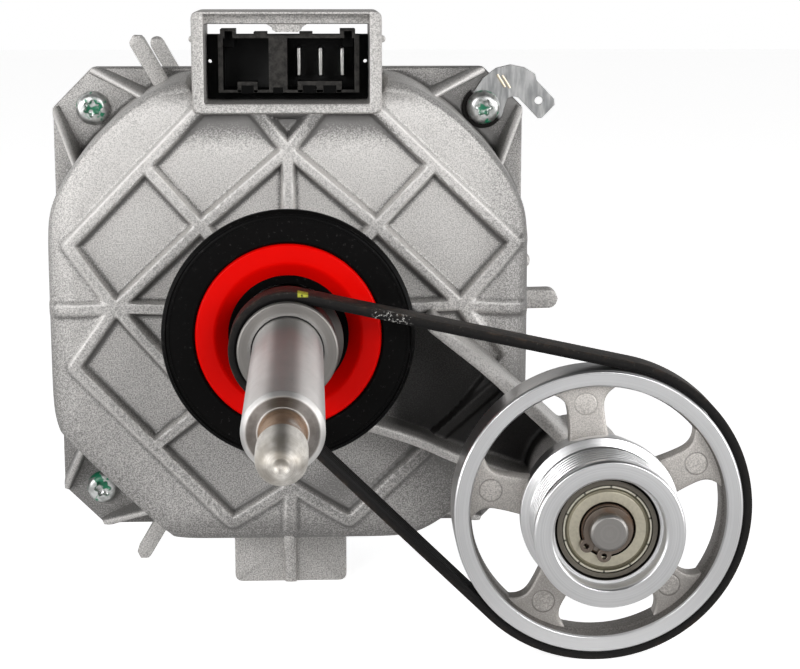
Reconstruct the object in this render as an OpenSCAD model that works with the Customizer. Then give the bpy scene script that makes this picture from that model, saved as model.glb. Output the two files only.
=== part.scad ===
// Belt-drive dryer motor: three-phase permanent-magnet motor with a stepped fan shaft,
// a small belt pinion and a large idler pulley carried on a cast bracket arm.
// +X is right, +Y runs into the motor, +Z is up. The origin lies on the shaft axis, at the
// front face of the shaft collar. All lengths are in millimetres.

/* [Shaft] */
// Diameter of the shaft at its bearings
shaft_d = 15; // [12:0.5:18]
// Free length of the shaft in front of the collar
shaft_len = 71.7; // [40:0.1:90]
// Diameter of the drive stub on the shaft end
stub_d = 9; // [6:0.1:12]
// Length of the drive stub
stub_len = 23; // [14:0.5:40]
// Diameter of the collar that the fan wheel seats on
collar_d = 21.5; // [18:0.1:26]

/* [Belt drive] */
// Sideways distance from the shaft to the pulley axle
pulley_x = 66.6; // [60:0.1:80]
// Drop from the shaft to the pulley axle
pulley_drop = 35.9; // [30:0.1:45]
// Outer diameter of the pulley rim
rim_d = 62.8; // [50:0.1:80]
// Width of the pulley rim
rim_w = 9.6; // [8:0.1:14]
// Diameter of the ribbed hub that takes the drum belt
hub_d = 30.6; // [26:0.1:36]
// Number of belt grooves in the hub
hub_grooves = 7; // [3:1:8]
// Outer diameter of the pinion
pinion_d = 20.8; // [18:0.1:24]
// Belt thickness without its ribs
belt_t = 1.4; // [0.8:0.1:2]
// Height of the belt ribs
rib_h = 0.7; // [0.5:0.1:1]
// Pitch of the belt ribs
rib_pitch = 1.6; // [1.5:0.1:2.4]
// Number of belt ribs
rib_count = 5; // [3:1:6]

/* [Housing] */
// Width across the flats of the housing
body_w = 112; // [100:1:140]
// Distance of the corner screws from the flats
screw_inset = 9.5; // [8:0.5:12]
// Depth of the front rib tops
rib_y = 38; // [30:0.5:45]
// Depth of the face that the corner screws sit on
flange_y = 66; // [55:0.5:75]
// Length of the stator stack
stack_len = 38; // [20:1:60]
// Width of the lattice ribs
lattice_w = 2.9; // [2:0.1:4]

/* [Connector] */
// Width of the cast connector frame
frame_w = 42.6; // [42:0.1:50]
// Height of the connector frame
frame_h = 22.8; // [22:0.1:28]
// Pitch of the terminal tabs
tab_pitch = 5; // [4:0.1:6]

/* [Pieces] */
// Piece to show

/* [Hidden] */

$fn = 96;
run_gap = 0.05;            // radial clearance of running parts
thread_gap = 0.02;         // radial clearance of the screw threads
knot = 0.15;               // extra radius where strips meet
half = body_w / 2;
body_r = half + 5;         // radius of the housing between its flats
screw_at = half - screw_inset;
corner_cut = 9.4;
face_y = rib_y + 1;        // smooth outer face of the front shield
panel_y = rib_y + 2.6;     // floor of the lattice panels
wall_y = panel_y + 3;      // inside of the front wall
flange_t = 6;
stack_y = flange_y + 2;
stack_end = stack_y + stack_len;
stack_r = half - 1.5;
cavity_r = stack_r - 2;
slots = 12;
tooth_w = 9;
bore_r = stack_r - 28.5;
slot_end = stack_r - 7.5;
insulator_t = 2;
coil_end = 8.2;            // how far the coils stand out of the stack
magnets = 8;
magnet_t = 3;
rotor_r = bore_r - 0.8;

shaft_r = shaft_d / 2;
seat_r = shaft_r + 1;      // behind its shoulder the shaft is thicker, up to the bearing seats
core_r = seat_r + 1.2;
stub_r = stub_d / 2;
tip_y = -shaft_len - stub_len;
collar_t = 0.8;

// Bearings as [bore radius, outer radius, width, ball radius, inner land radius, outer land radius]
axle_r = 4;
motor_brg = [seat_r, 17.5, 10, 2.38, seat_r + 2.8, 14.7];
pulley_brg = [axle_r, 11, 7, 2, 5.8, 8.9];
motor_balls = 10;
pulley_balls_n = 7;
front_brg_y = rib_y - motor_brg[2];
rear_brg_y = stack_end + 10;
rear_brg_end = rear_brg_y + motor_brg[2];
back_y = rear_brg_end + 7;

pulley_c = [pulley_x, -pulley_drop];
rim_r = rim_d / 2;
rim_inner = rim_r - 3.6;
hub_r = hub_d / 2;
hub_front = -16.4;
spokes = 5;
spoke_turn = 97;
pulley_races = [hub_front + 4.1, 0.2];
shield_t = 0.3;
shield_inset = 0.1;
shield_r = 9.44;
washer_y = pulley_races[1] + pulley_brg[2];
boss_y = washer_y + 5.4;
axle_head_r = 6;
circlip_y = pulley_races[0] - 1.05;
circlip_t = 0.9;
circlip_ends = [216, 262];

pinion_r = pinion_d / 2;
pinion_end = 13;
belt_y = 1.2;
belt_w = rib_pitch * rib_count;
belt_gap = 0.1;
floor_z = -(pulley_drop + rim_r + belt_gap + belt_t + rib_h);

seal_y = 17.4;
neck_r = motor_brg[1] + 1.5;
neck_y = 20.5;

frame_x = frame_w / 2;
frame_base = half - 9;     // height over the shaft
frame_wall = 2.7;
frame_sill = 2.3;
open_z = frame_h - 2.9;    // top of the opening in the frame
frame_y = rib_y - 1;
frame_back = 58;
bay_x = frame_x - frame_wall;
plate_front = 54;
plate_t = 3;
shroud_y = 46;
tabs_x = 2.6;
tabs_z = 11.1;
leads_y = plate_front + plate_t + 1.5;

cast = [0.78, 0.77, 0.75];
steel = [0.62, 0.62, 0.63];
dark = [0.09, 0.09, 0.1];

module turn(points) rotate([-90, 0, 0]) rotate_extrude() polygon(points);
module plate(y0, y1) translate([0, y1, 0]) rotate([90, 0, 0]) linear_extrude(y1 - y0) children();
module rod(y0, y1, r) translate([0, y0, 0]) rotate([-90, 0, 0]) cylinder(h = y1 - y0, r = r);
module tube(y0, y1, r0, r1) turn([[r0, y0], [r1, y0], [r1, y1], [r0, y1]]);
module box(x, z, w, h) translate([x, z]) square([w, h]);
module at_pulley() translate([pulley_c[0], 0, pulley_c[1]]) children();
module at_frame() translate([0, 0, frame_base]) children();
module corners() for (mx = [0, 1], mz = [0, 1]) mirror([mx, 0, 0]) mirror([0, 0, mz]) children();
module at_screws() for (sx = [-1, 1], sz = [-1, 1]) translate([sx * screw_at, 0, sz * screw_at]) children();
module strip(p, q, w) translate(p) rotate(atan2(q[1] - p[1], q[0] - p[0])) box(0, -w / 2, norm(q - p), w);
// Bent wall of width w; its round knots are a little wider, so no arc is tangent to a side
module path(points, w) {
    for (i = [0 : len(points) - 2]) strip(points[i], points[i + 1], w);
    for (p = points) translate(p) circle(r = w / 2 + knot, $fn = 32);
}
function arc_pts(c, r, a0, a1, n) =
    [for (i = [0 : n]) c + r * [cos(a0 + (a1 - a0) * i / n), sin(a0 + (a1 - a0) * i / n)]];
function shifted(points, by) = [for (p = points) p + by];

// Lattice nodes of the front face as [x, z], drawn for a housing 112 wide
function lattice(points) = [for (p = points) p * half / 56];
top_x = [0, 38.8];
low_x = [0, -39.6];
left_x = [-39.7, 2.9];
right_x = [39.4, 3.1];
rib_paths = [
    [[-20.4, 47.5], [-50, 17.2], left_x, [-49.5, -10.9], [-13.8, -48.3], low_x],
    [[20.4, 47.5], [52, 17.4], right_x, [20, 21.6], top_x, [-20, 21.6], left_x],
    [[-7.2, 47.5], top_x, [7.2, 47.5]],
    [top_x, [0, 20]],
    [[-31, 33.8], [-14, 15]],
    [[32.3, 34.4], [14, 15]],
    [left_x, [-20, -20], low_x, [13.6, -48.2], [31, -31.6]],
    [[-32.6, -30.6], [-14, -16]],
    [[33.6, -28.6], [48, -15.8]],
    [left_x, [-54, 2.3]], [left_x, [-18, 2.3]],
    [right_x, [54, 2.1]], [right_x, [18, 2.1]], [right_x, [48, -8]],
    [low_x, [-0.5, -54]]];
recess = [[-20.4, 47], [-50, 17.2], [-40, 2.6], [-49.5, -10.9], [-13.8, -48.3], [0, -41],
    [13.6, -48.2], [31, -31.6], [49, -9], [39.4, 3.1], [52, 17.4], [20.4, 47]];

module body_outline() intersection() {
    circle(r = body_r);
    square([body_w, body_w], center = true);
}

// Drafted block that trims the cup: wide at the flange, narrower at the front face
module cup_draft() intersection() {
    back = flange_y + flange_t + 1;
    turn([[0, face_y], [body_r - 4.5, face_y], [body_r - 2.2, face_y + 3], [body_r, back], [0, back]]);
    translate([0, 0, -body_w]) linear_extrude(2 * body_w) polygon([[2.6 - half, face_y],
        [0.8 - half, face_y + 2.4], [-half, flange_y], [-half, back], [half, back], [half, flange_y],
        [half - 0.8, face_y + 2.4], [half - 2.6, face_y]]);
    translate([-body_w, 0, 0]) rotate([90, 0, 90]) linear_extrude(2 * body_w) polygon([[face_y, 5.4 - half],
        [face_y + 3, 2.8 - half], [flange_y, -half], [back, -half], [back, half], [flange_y, half],
        [face_y + 3, half - 2], [face_y, half - 4]]);
}

module corner_outline()
    polygon([[0, 0], [half, 0], [half, half - corner_cut], [half - corner_cut, half], [0, half]]);

// Gusset beside a corner screw: a raised pad that falls from the cup to the flange corner
module gusset() intersection() {
    low = flange_y - 12.5;
    plate(low - 2, flange_y + 1)
        polygon(shifted([[0, -9.4], [0, -30], [-7.2, -21.4], [-2.1, -9.4]], [half, half]));
    translate([half - 16, 0, half]) rotate([90, 0, 90]) linear_extrude(20) polygon([[flange_y + 1, -36],
        [flange_y + 1, -9], [flange_y - 0.8, -9], [low, -25], [low, -36]]);
}

module corner_block() {
    plate(flange_y, flange_y + flange_t) corner_outline();
    gusset();
    mirror([1, 0, -1]) gusset();
}

// Round-ended prong on the housing rim, at a given angle round the shaft
module lug(angle, y0, y1, r1, w) rotate([0, -angle, 0]) plate(y0, y1) {
    box(half - 6, -w / 2, r1 - half + 6 - w / 2, w);
    translate([r1 - w / 2, 0]) circle(d = w, $fn = 32);
}

module rounded_tab(w, h, r) {
    box(r, 0, w - 2 * r, h);
    box(0, r, w, h - r);
    for (x = [r, w - r]) translate([x, r]) circle(r = r, $fn = 32);
}

module connector_frame() at_frame() {
    plate(frame_y, frame_back) difference() {
        box(-frame_x, 0, frame_w, frame_h);
        box(-bay_x, frame_sill, 2 * bay_x, open_z - frame_sill);
    }
    plate(frame_y + 5, frame_back) box(-3.8, frame_h - 4.7, 7.6, 3);
    for (s = [-1, 1]) plate(48, 50) translate([s * (frame_x + 0.4), frame_h - 6.5]) circle(d = 1.6, $fn = 24);
}

// Bracket arm, seen from the front: an upper and a lower wall with a web between them
arm_upper = concat(lattice([[31.5, 0.3], [50, -13.6]]), [pulley_c + [-2, 10.4]]);
arm_lower = concat(lattice([[17, -23], [25, -25.4], [31.4, -27.8], [37.8, -31]]), [pulley_c + [-11, -0.5]]);
module bracket_arm() {
    plate(rib_y - 17, panel_y + 1) path(arm_upper, 3.8);
    plate(rib_y - 9.5, panel_y + 1) path(arm_lower, 2.6);
    plate(panel_y - 1.6, wall_y) polygon(concat(lattice([[46, -10.6]]), [arm_upper[1], arm_upper[2],
        arm_lower[4]], lattice([[46, -33.4]])));
    at_pulley() turn([[axle_r, boss_y], [9.6, boss_y], [10.6, boss_y + 1], [12.2, wall_y], [axle_r, wall_y]]);
}

module front_shield() color(cast) difference() {
    union() {
        difference() {
            intersection() {
                plate(face_y, flange_y + flange_t) body_outline();
                cup_draft();
            }
            plate(face_y - 1, panel_y) polygon(lattice(recess));
        }
        intersection() {
            plate(rib_y, panel_y + 1) for (p = rib_paths) path(lattice(p), lattice_w);
            plate(rib_y - 1, panel_y + 2) square([body_w - 4.4, body_w - 4.4], center = true);
        }
        turn([[0, neck_y], [neck_r, neck_y], [neck_r + 1, neck_y + 1], [neck_r + 1.6, rib_y - 4],
            [neck_r + 5, panel_y], [neck_r + 5, panel_y + 1], [0, panel_y + 1]]);
        corners() corner_block();
        connector_frame();
        bracket_arm();
        plate(59.5, stack_y) translate([-14.2, floor_z]) rounded_tab(27.4, 6 - half - floor_z, 2);
        plate(57.6, 60) path([[-0.5, floor_z + 1.5], [-0.5, 6 - half]], lattice_w);
        plate(rib_y + 2, 60) box(-2, 0.6 - half, lattice_w, 6);
        lug(119.4, 58, 62, half + 17.2, 3.6);
        lug(239.4, 58, 62, half + 16.8, 3.6);
        lug(1, 57.5, 62.2, half + 8.3, 4.6);
    }
    turn([[0, wall_y], [cavity_r - 3, wall_y], [cavity_r, wall_y + 3], [cavity_r, stack_y],
        [stack_r + run_gap, stack_y], [stack_r + run_gap, stack_end], [0, stack_end]]);
    rod(front_brg_y, wall_y + 1, motor_brg[1]);
    rod(neck_y - 1, front_brg_y + 1, motor_brg[1] - 3.7);
    at_frame() {
        plate(frame_y - 1, frame_back + 1) box(-bay_x, frame_sill, 2 * bay_x, open_z - frame_sill);
        plate(frame_y - 1, frame_y + 5) box(-bay_x, 13, 2 * bay_x, frame_h - 13.5);
        plate(frame_back - 1, leads_y + 4) box(tabs_x - 2.2, 0, 2 * tab_pitch + 4.4, 10);
    }
    at_pulley() {
        rod(boss_y - 1, wall_y + 1, axle_r);
        rod(panel_y, panel_y + 10, axle_head_r + 0.4);
    }
    at_screws() {
        rod(flange_y - 1, flange_y + flange_t + 2, 2.2);
        rod(40, flange_y, 5);
    }
}

module rear_shield() color(cast) {
    y0 = stack_end - 4;
    difference() {
        union() {
            turn([[0, y0], [stack_r + 2.6, y0], [stack_r + 2.6, stack_end + 2], [stack_r - 2.5, stack_end + 9],
                [stack_r - 5.5, back_y - 6], [stack_r - 8.5, back_y - 4], [0, back_y - 4]]);
            corners() plate(stack_end - 2, stack_end + 4) intersection() {
                corner_outline();
                translate([screw_at, screw_at]) rotate(-135) box(-7.2, -7, 22, 14);
            }
            rod(back_y - 5, back_y, motor_brg[1] + 3.5);
            for (a = [0 : 45 : 359]) rotate([0, a, 0]) plate(stack_end + 12, back_y - 1)
                box(18, -1.5, stack_r - 24.5, 3);
            plate(stack_end - 2, stack_end + 4) translate([-13.7, floor_z])
                rounded_tab(27.4, 8 - half - floor_z, 2);
            lug(119.4, y0, stack_end, half + 15, 3.6);
            lug(239.4, y0, stack_end, half + 14, 3.6);
            lug(3.4, y0, stack_end, half + 6.8, 4.6);
        }
        turn([[0, y0 - 1], [stack_r + run_gap, y0 - 1], [stack_r + run_gap, stack_end], [cavity_r, stack_end],
            [cavity_r - 2, rear_brg_y + 2], [stack_r - 10.5, back_y - 8], [0, back_y - 8]]);
        rod(rear_brg_y, back_y - 3, motor_brg[1]);
        at_screws() rod(stack_end - 5, stack_end + 5, 2 + thread_gap);
    }
    tube(rear_brg_y - 1, back_y - 7, motor_brg[1], motor_brg[1] + 4);
}

// Point on a slot wall, which runs parallel to the tooth beside it
function slot_pt(r, side) = [r, side * (r * tan(180 / slots) - tooth_w / 2)];
module stator_core() color([0.4, 0.42, 0.44]) difference() {
    rod(stack_y, stack_end, stack_r);
    for (i = [0 : slots - 1]) rotate([0, i * 360 / slots, 0]) plate(stack_y - 1, stack_end + 1)
        polygon([slot_pt(bore_r + 2.5, 1), slot_pt(slot_end, 1), slot_pt(slot_end, -1),
            slot_pt(bore_r + 2.5, -1), [bore_r - 1, -1.2], [bore_r - 1, 1.2]]);
    rod(stack_y - 1, stack_end + 1, bore_r);
}

module on_teeth() for (i = [0 : slots - 1]) rotate([0, (i + 0.5) * 360 / slots, 0]) children();

module stator_coils() color([0.72, 0.36, 0.14]) on_teeth() difference() {
    plate(stack_y - coil_end, stack_end + coil_end)
        polygon([[bore_r + 4.5, -6.6], [slot_end - 1.5, -10.2], [slot_end - 1.5, 10.2], [bore_r + 4.5, 6.6]]);
    plate(stack_y - insulator_t - 0.2, stack_end + insulator_t + 0.2)
        box(bore_r - 6, -tooth_w / 2 - 0.1, stack_r, tooth_w + 0.2);
}

module slot_insulators() color([0.93, 0.92, 0.88]) for (y = [stack_y - insulator_t, stack_end]) {
    tube(y, y + insulator_t, slot_end, slot_end + 4);
    on_teeth() plate(y, y + insulator_t) box(bore_r + 1.5, -tooth_w / 2, slot_end - bore_r, tooth_w);
    tube(y, y + insulator_t, bore_r + 0.6, bore_r + 2.6);
}

module corner_screws() color(steel) for (sx = [-1, 1], sz = [-1, 1]) {
    lift = sx > 0 && sz > 0 ? 0.8 : 0;
    translate([sx * screw_at, flange_y - lift, sz * screw_at]) difference() {
        turn([[0, -2.7], [2.4, -2.6], [3.7, -1.9], [4, -1], [4, 0], [2, 0], [2, stack_len + 5],
            [1.9, stack_len + 6 + lift], [0, stack_len + 6 + lift]]);
        for (a = [0 : 60 : 120]) rotate([0, a, 0]) plate(-3, -1.2) square([3.9, 1.3], center = true);
    }
}

module earth_tab() color(steel) difference() {
    plate(flange_y - 0.8, flange_y) polygon(concat(shifted([[-11.6, -5.6], [-9.4, -2.4], [-6.4, -0.2],
        [-3, 0.6], [0.4, -0.1], [2.9, -1.6], [3.4, -3.2], [7.7, -7.7], [7.8, -9], [4.7, -12.2], [3.7, -12.2],
        [-1, -7.3], [-2.2, -7], [-3.6, -7.4]], [half, half]), arc_pts([screw_at, screw_at], 5, 355, 125, 24)));
    translate([screw_at, 0, screw_at]) rod(60, 70, 2.2);
    translate([half + 3.9, 0, half - 8]) rod(60, 70, 0.95);
}

module bay(x0, x1) plate(shroud_y - 1, plate_front + 1.6) box(x0, 4.9, x1 - x0, open_z - 8.2);
module each_tab() for (i = [0 : 2]) translate([tabs_x + i * tab_pitch, 0, 0]) children();
module connector_body() color(dark) at_frame() difference() {
    union() {
        plate(plate_front, plate_front + plate_t)
            box(0.05 - bay_x, frame_sill + 0.1, 2 * bay_x - 0.1, open_z - 2.7 - frame_sill - 0.1);
        plate(shroud_y, plate_front + 1) {
            box(-15.7, 4.3, 32.1, open_z - 6.9);
            for (x = [-15.2, 12.1]) box(x, 13, 3.4, open_z - 14.3);
            for (x = [-7.6, 2.8]) box(x, 13, 3, open_z - 15);
        }
        plate(plate_front + plate_t, leads_y + 3.9) box(0.6, 3, 14.2, 14);
    }
    plate(plate_front + plate_t, leads_y + 2.9) box(1.4, 2, 12.6, 14.2);
    bay(-14.6, -4.2);
    bay(0, 15.3);
    for (x = [-14.2, 13]) plate(shroud_y - 1, plate_front + 1) box(x, 15, 1.8, 3.2);
    for (x = [-18, 18]) translate([x, 0, 11]) rod(50, 70, 0.45);
    each_tab() plate(50, 60) translate([0, tabs_z]) square([0.84, 6.34], center = true);
}

module terminal_tabs() color([0.8, 0.8, 0.78]) at_frame() each_tab()
    plate(plate_front - 4.5, leads_y) translate([0, tabs_z]) square([0.8, 6.3], center = true);

module phase_leads() color([0.75, 0.12, 0.1]) at_frame() each_tab() {
    plate(leads_y, leads_y + 2.5) box(-1, 0, 2, 14);
    plate(leads_y, stack_y - coil_end) box(-1, -6, 2, 7);
}

module seal_disc() color(dark) difference() {
    turn([[20.5, seal_y + 0.5], [20.9, seal_y], [26.9, seal_y], [27.9, seal_y + 0.8],
        [27.9, seal_y + 1.5], [27.4, seal_y + 1.9], [27.9, seal_y + 2.3], [27.7, seal_y + 3.2],
        [26, seal_y + 3.8], [23.4, seal_y + 3.8], [23.4, 31], [neck_r + 1.62, 31],
        [neck_r + 1.62, seal_y + 3.8], [neck_r + 0.6, neck_y],
        [neck_r + 0.6, seal_y + 2.7], [20.5, seal_y + 2.7]]);
    turn([[neck_r, neck_y - 0.1], [neck_r + 1, neck_y - 0.1], [neck_r + 1.6, rib_y - 4],
        [neck_r, rib_y - 4]]);
}

module seal_ring() color([0.92, 0.1, 0.02]) turn([[13.2, seal_y + 1.5], [15.4, seal_y + 0.5],
    [16.6, seal_y - 0.1], [20.2, seal_y - 0.1], [20.45, seal_y + 0.4], [20.45, seal_y + 2.7],
    [19.2, seal_y + 2.7], [19.2, neck_y], [13.9, neck_y]]);

function ball_pitch(b) = (b[0] + b[1]) / 2;
module raceway(b) translate([0, b[2] / 2, 0]) rotate([-90, 0, 0]) rotate_extrude()
    translate([ball_pitch(b), 0]) circle(r = b[3] + run_gap, $fn = 48);
module outer_race(b) difference() {
    tube(0, b[2], b[5], b[1]);
    raceway(b);
}
module inner_race(b) difference() {
    tube(0, b[2], b[0], b[4]);
    raceway(b);
}
module ball_set(b, count) {
    for (i = [0 : count - 1]) rotate([0, i * 360 / count, 0]) translate([ball_pitch(b), b[2] / 2, 0])
        sphere(r = b[3], $fn = 32);
    tube(b[2] / 2 - 0.5, b[2] / 2 + 0.5, ball_pitch(b) - 0.7, ball_pitch(b) + 0.7);
}

module at_y(y) translate([0, y, 0]) children();
module front_outer_race() color(steel) at_y(front_brg_y) outer_race(motor_brg);
module front_inner_race() color(steel) at_y(front_brg_y) inner_race(motor_brg);
module front_balls() color([0.7, 0.7, 0.72]) at_y(front_brg_y) ball_set(motor_brg, motor_balls);
module rear_outer_race() color(steel) at_y(rear_brg_y) outer_race(motor_brg);
module rear_inner_race() color(steel) at_y(rear_brg_y) inner_race(motor_brg);
module rear_balls() color([0.7, 0.7, 0.72]) at_y(rear_brg_y) ball_set(motor_brg, motor_balls);

module wave_spring() color([0.55, 0.56, 0.58])
    tube(rear_brg_end, back_y - 3, motor_brg[1] - 2.9, motor_brg[1] - 0.3);

module rotor_shaft() color([0.7, 0.7, 0.7]) turn([[0, tip_y], [2.4, tip_y + 0.25], [3.3, tip_y + 1.1],
    [stub_r, tip_y + 4.2], [stub_r, tip_y + 11.6], [stub_r - 0.5, tip_y + 12.4],
    [stub_r - 0.5, -shaft_len - 1.2], [stub_r, -shaft_len], [shaft_r - 0.83, -shaft_len],
    [shaft_r, 0.83 - shaft_len], [shaft_r, 0], [seat_r, 0], [seat_r, rib_y], [core_r, rib_y],
    [core_r, rear_brg_y], [seat_r, rear_brg_y], [seat_r, rear_brg_end + 0.6],
    [seat_r - 0.6, rear_brg_end + 1.2], [0, rear_brg_end + 1.2]]);

module shaft_collar() color([0.72, 0.72, 0.72]) turn([[seat_r, 0], [collar_d / 2 - 0.3, 0],
    [collar_d / 2, 0.3], [collar_d / 2, collar_t], [seat_r, collar_t]]);

module belt_pinion() color([0.6, 0.6, 0.6]) difference() {
    turn([[seat_r, collar_t], [pinion_r, collar_t], [pinion_r, pinion_end - 1.6],
        [pinion_r + 1.6, pinion_end - 1], [pinion_r + 1.6, pinion_end], [10, pinion_end],
        [10, front_brg_y], [seat_r, front_brg_y]]);
    for (i = [0 : rib_count - 1]) {
        y = belt_y + (i + 0.5) * rib_pitch;
        turn([[pinion_r + 1, y - 0.28], [pinion_r - 0.75, y - 0.12], [pinion_r - 0.75, y + 0.12],
            [pinion_r + 1, y + 0.28]]);
    }
}

module rotor_core() color([0.4, 0.42, 0.44]) tube(stack_y + 1, stack_end - 1, core_r, rotor_r - magnet_t);
module rotor_magnets() color([0.25, 0.25, 0.27]) for (i = [0 : magnets - 1]) rotate([0, i * 360 / magnets, 0])
    rotate([-90, 0, 0]) translate([0, 0, stack_y + 1]) rotate([0, 0, -20])
        rotate_extrude(angle = 40) translate([rotor_r - magnet_t, 0]) square([magnet_t, stack_len - 2]);
module rotor_end_plates() color([0.7, 0.68, 0.6]) for (y = [stack_y - 1, stack_end - 1])
    tube(y, y + 2, core_r, rotor_r - 1);

// Closed path of an open belt that runs round the pinion and the pulley, at a given height over both
function belt_path(h) = let (d = norm(pulley_c), dir = atan2(pulley_c[1], pulley_c[0]),
    tilt = acos((rim_r - pinion_r) / d))
    concat(arc_pts(pulley_c, rim_r + h, dir + 180 - tilt, dir - 180 + tilt, 48),
        arc_pts([0, 0], pinion_r + h, dir - 180 + tilt, dir - 180 - tilt, 24));
module belt_ring(h0, h1) difference() {
    polygon(belt_path(h1));
    polygon(belt_path(h0));
}
module drive_belt() color(dark) {
    plate(belt_y, belt_y + belt_w) belt_ring(belt_gap + rib_h, belt_gap + rib_h + belt_t);
    for (i = [0 : rib_count - 1]) at_y(belt_y + i * rib_pitch) plate(0.3, rib_pitch - 0.3)
        belt_ring(belt_gap, belt_gap + rib_h + 0.05);
}

module pulley_wheel() color([0.82, 0.82, 0.82]) at_pulley() difference() {
    union() {
        turn([[rim_inner, 0.3], [rim_inner + 0.3, 0], [rim_r - 0.4, 0], [rim_r, 0.4], [rim_r, rim_w - 0.4],
            [rim_r - 0.4, rim_w], [rim_inner + 1, rim_w], [rim_inner + 1, 8.4], [rim_inner - 0.6, 8],
            [rim_inner - 0.6, 3.4], [rim_inner, 2.8]]);
        plate(3, 7.4) for (i = [0 : spokes - 1]) rotate(i * 360 / spokes + spoke_turn) {
            side = [[12, 4.6], [17, 4.4], [rim_inner - 5.8, 3.9], [rim_inner - 2.8, 4.6],
                [rim_inner - 0.8, 6.6], [rim_inner + 0.8, 8.5]];
            polygon(concat(side, [for (k = [len(side) - 1 : -1 : 0]) [side[k][0], -side[k][1]]]));
        }
        turn([[11, hub_front + 0.4], [11.9, hub_front], [hub_r + 0.1, hub_front],
            [hub_r + 0.6, hub_front + 0.5], [hub_r + 0.6, hub_front + 1.4], [hub_r, hub_front + 1.7],
            [hub_r, -2.2], [hub_r + 1.9, -1.6],
            [hub_r + 1.9, 0.6], [hub_r + 0.7, 1.4], [hub_r + 0.7, 8], [11, 8]]);
    }
    for (i = [0 : hub_grooves - 1]) {
        y = hub_front + 2.9 + i * rib_pitch;
        turn([[hub_r + 0.7, y - 0.55], [hub_r - 1, y - 0.1], [hub_r - 1, y + 0.1],
            [hub_r + 0.7, y + 0.55]]);
    }
    rod(pulley_races[0] - 0.7, washer_y, pulley_brg[1]);
    rod(hub_front - 1, pulley_races[0], pulley_brg[1] + 0.7);
    rod(hub_front - 1, rim_w, 9.6);
}

module each_race() for (y = pulley_races) at_y(y) children();
module pulley_outer_races() color(steel) at_pulley() each_race() difference() {
    outer_race(pulley_brg);
    for (y = [-1, pulley_brg[2] - shield_t - shield_inset])
        tube(y, y + 1 + shield_t + shield_inset, 1, shield_r + 0.02);
}
module pulley_inner_races() color(steel) at_pulley() each_race() inner_race(pulley_brg);
module pulley_balls() color([0.7, 0.7, 0.72]) at_pulley() each_race() ball_set(pulley_brg, pulley_balls_n);
module pulley_shields() color([0.66, 0.64, 0.5]) at_pulley() each_race()
    for (y = [shield_inset, pulley_brg[2] - shield_t - shield_inset])
        tube(y, y + shield_t, pulley_brg[4] + run_gap, shield_r);
module race_spacer() color(steel) at_pulley()
    tube(pulley_races[0] + pulley_brg[2], pulley_races[1], axle_r, pulley_brg[4] - 0.6);
module pulley_axle() color(steel) at_pulley() difference() {
    turn([[0, hub_front + 1], [axle_r - 0.4, hub_front + 1], [axle_r, hub_front + 1.4], [axle_r, panel_y],
        [axle_head_r, panel_y], [axle_head_r, panel_y + 2], [0, panel_y + 2]]);
    tube(circlip_y - 0.05, circlip_y + circlip_t + 0.05, axle_r - 0.3, axle_r + 1);
}
module axle_washer() color(steel) at_pulley() tube(washer_y, boss_y, axle_r, 5.6);
module axle_circlip() color([0.35, 0.34, 0.33]) at_pulley() difference() {
    plate(circlip_y, circlip_y + circlip_t) {
        difference() {
            circle(r = axle_r + 1.2);
            polygon([[0, 0], [9 * cos(219), 9 * sin(219)], [9 * cos(255), 9 * sin(255)]]);
        }
        for (a = circlip_ends) rotate(a) translate([axle_r + 1.4, 0]) circle(r = 1.5, $fn = 32);
    }
    rod(circlip_y - 1, circlip_y + 2, axle_r - 0.3);
    for (a = circlip_ends) translate([5.6 * cos(a), 0, 5.6 * sin(a)]) rod(circlip_y - 1, circlip_y + 2, 0.6);
}

front_shield();
rear_shield();
stator_core();
stator_coils();
slot_insulators();
corner_screws();
earth_tab();
connector_body();
terminal_tabs();
phase_leads();
seal_disc();
seal_ring();
front_outer_race();
front_balls();
front_inner_race();
rear_outer_race();
rear_balls();
rear_inner_race();
wave_spring();
rotor_shaft();
shaft_collar();
belt_pinion();
rotor_core();
rotor_magnets();
rotor_end_plates();
drive_belt();
pulley_wheel();
pulley_outer_races();
pulley_balls();
pulley_inner_races();
pulley_shields();
race_spacer();
pulley_axle();
axle_washer();
axle_circlip();
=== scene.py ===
import bpy
import bmesh
import numpy as np
from mathutils import Matrix, Vector


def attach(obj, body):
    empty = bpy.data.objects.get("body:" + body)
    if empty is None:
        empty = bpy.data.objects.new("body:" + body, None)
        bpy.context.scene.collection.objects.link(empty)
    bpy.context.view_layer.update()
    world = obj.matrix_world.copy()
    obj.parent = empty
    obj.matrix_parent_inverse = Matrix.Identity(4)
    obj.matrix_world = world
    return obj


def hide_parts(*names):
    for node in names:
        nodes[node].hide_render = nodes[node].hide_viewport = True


# Looks for the dryer motor. Shapes are worked out in millimetres in the part's frame:
# x to the right, y into the motor, z up, with the shaft axis at x = z = 0.
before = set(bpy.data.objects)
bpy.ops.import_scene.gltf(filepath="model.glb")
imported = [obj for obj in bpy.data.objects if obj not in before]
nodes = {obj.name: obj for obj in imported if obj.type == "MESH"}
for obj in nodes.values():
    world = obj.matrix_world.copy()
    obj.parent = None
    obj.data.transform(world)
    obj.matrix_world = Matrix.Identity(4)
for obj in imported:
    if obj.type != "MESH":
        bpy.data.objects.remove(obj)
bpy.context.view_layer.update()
mm = 0.001
print("frame loaded:", len(nodes), "CAD nodes")

camera = {
    "place": (5.41, -402.7, 80.8),
    "tilt": (-0.189, -0.046, -0.008),   # turns about the viewer's right, up and back axes
    "lens": 87.75,
    "sensor": 36.0,
}
hubCentre = (66.6, -35.9)  # x and z of the pulley's axis
floorLevel = -69.5
screwSpread = 46.5         # distance of the corner screws from the shaft, along x and z


# Grid and sweep tools. A part is (points, faces), with its points on a grid of rows and columns

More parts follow.
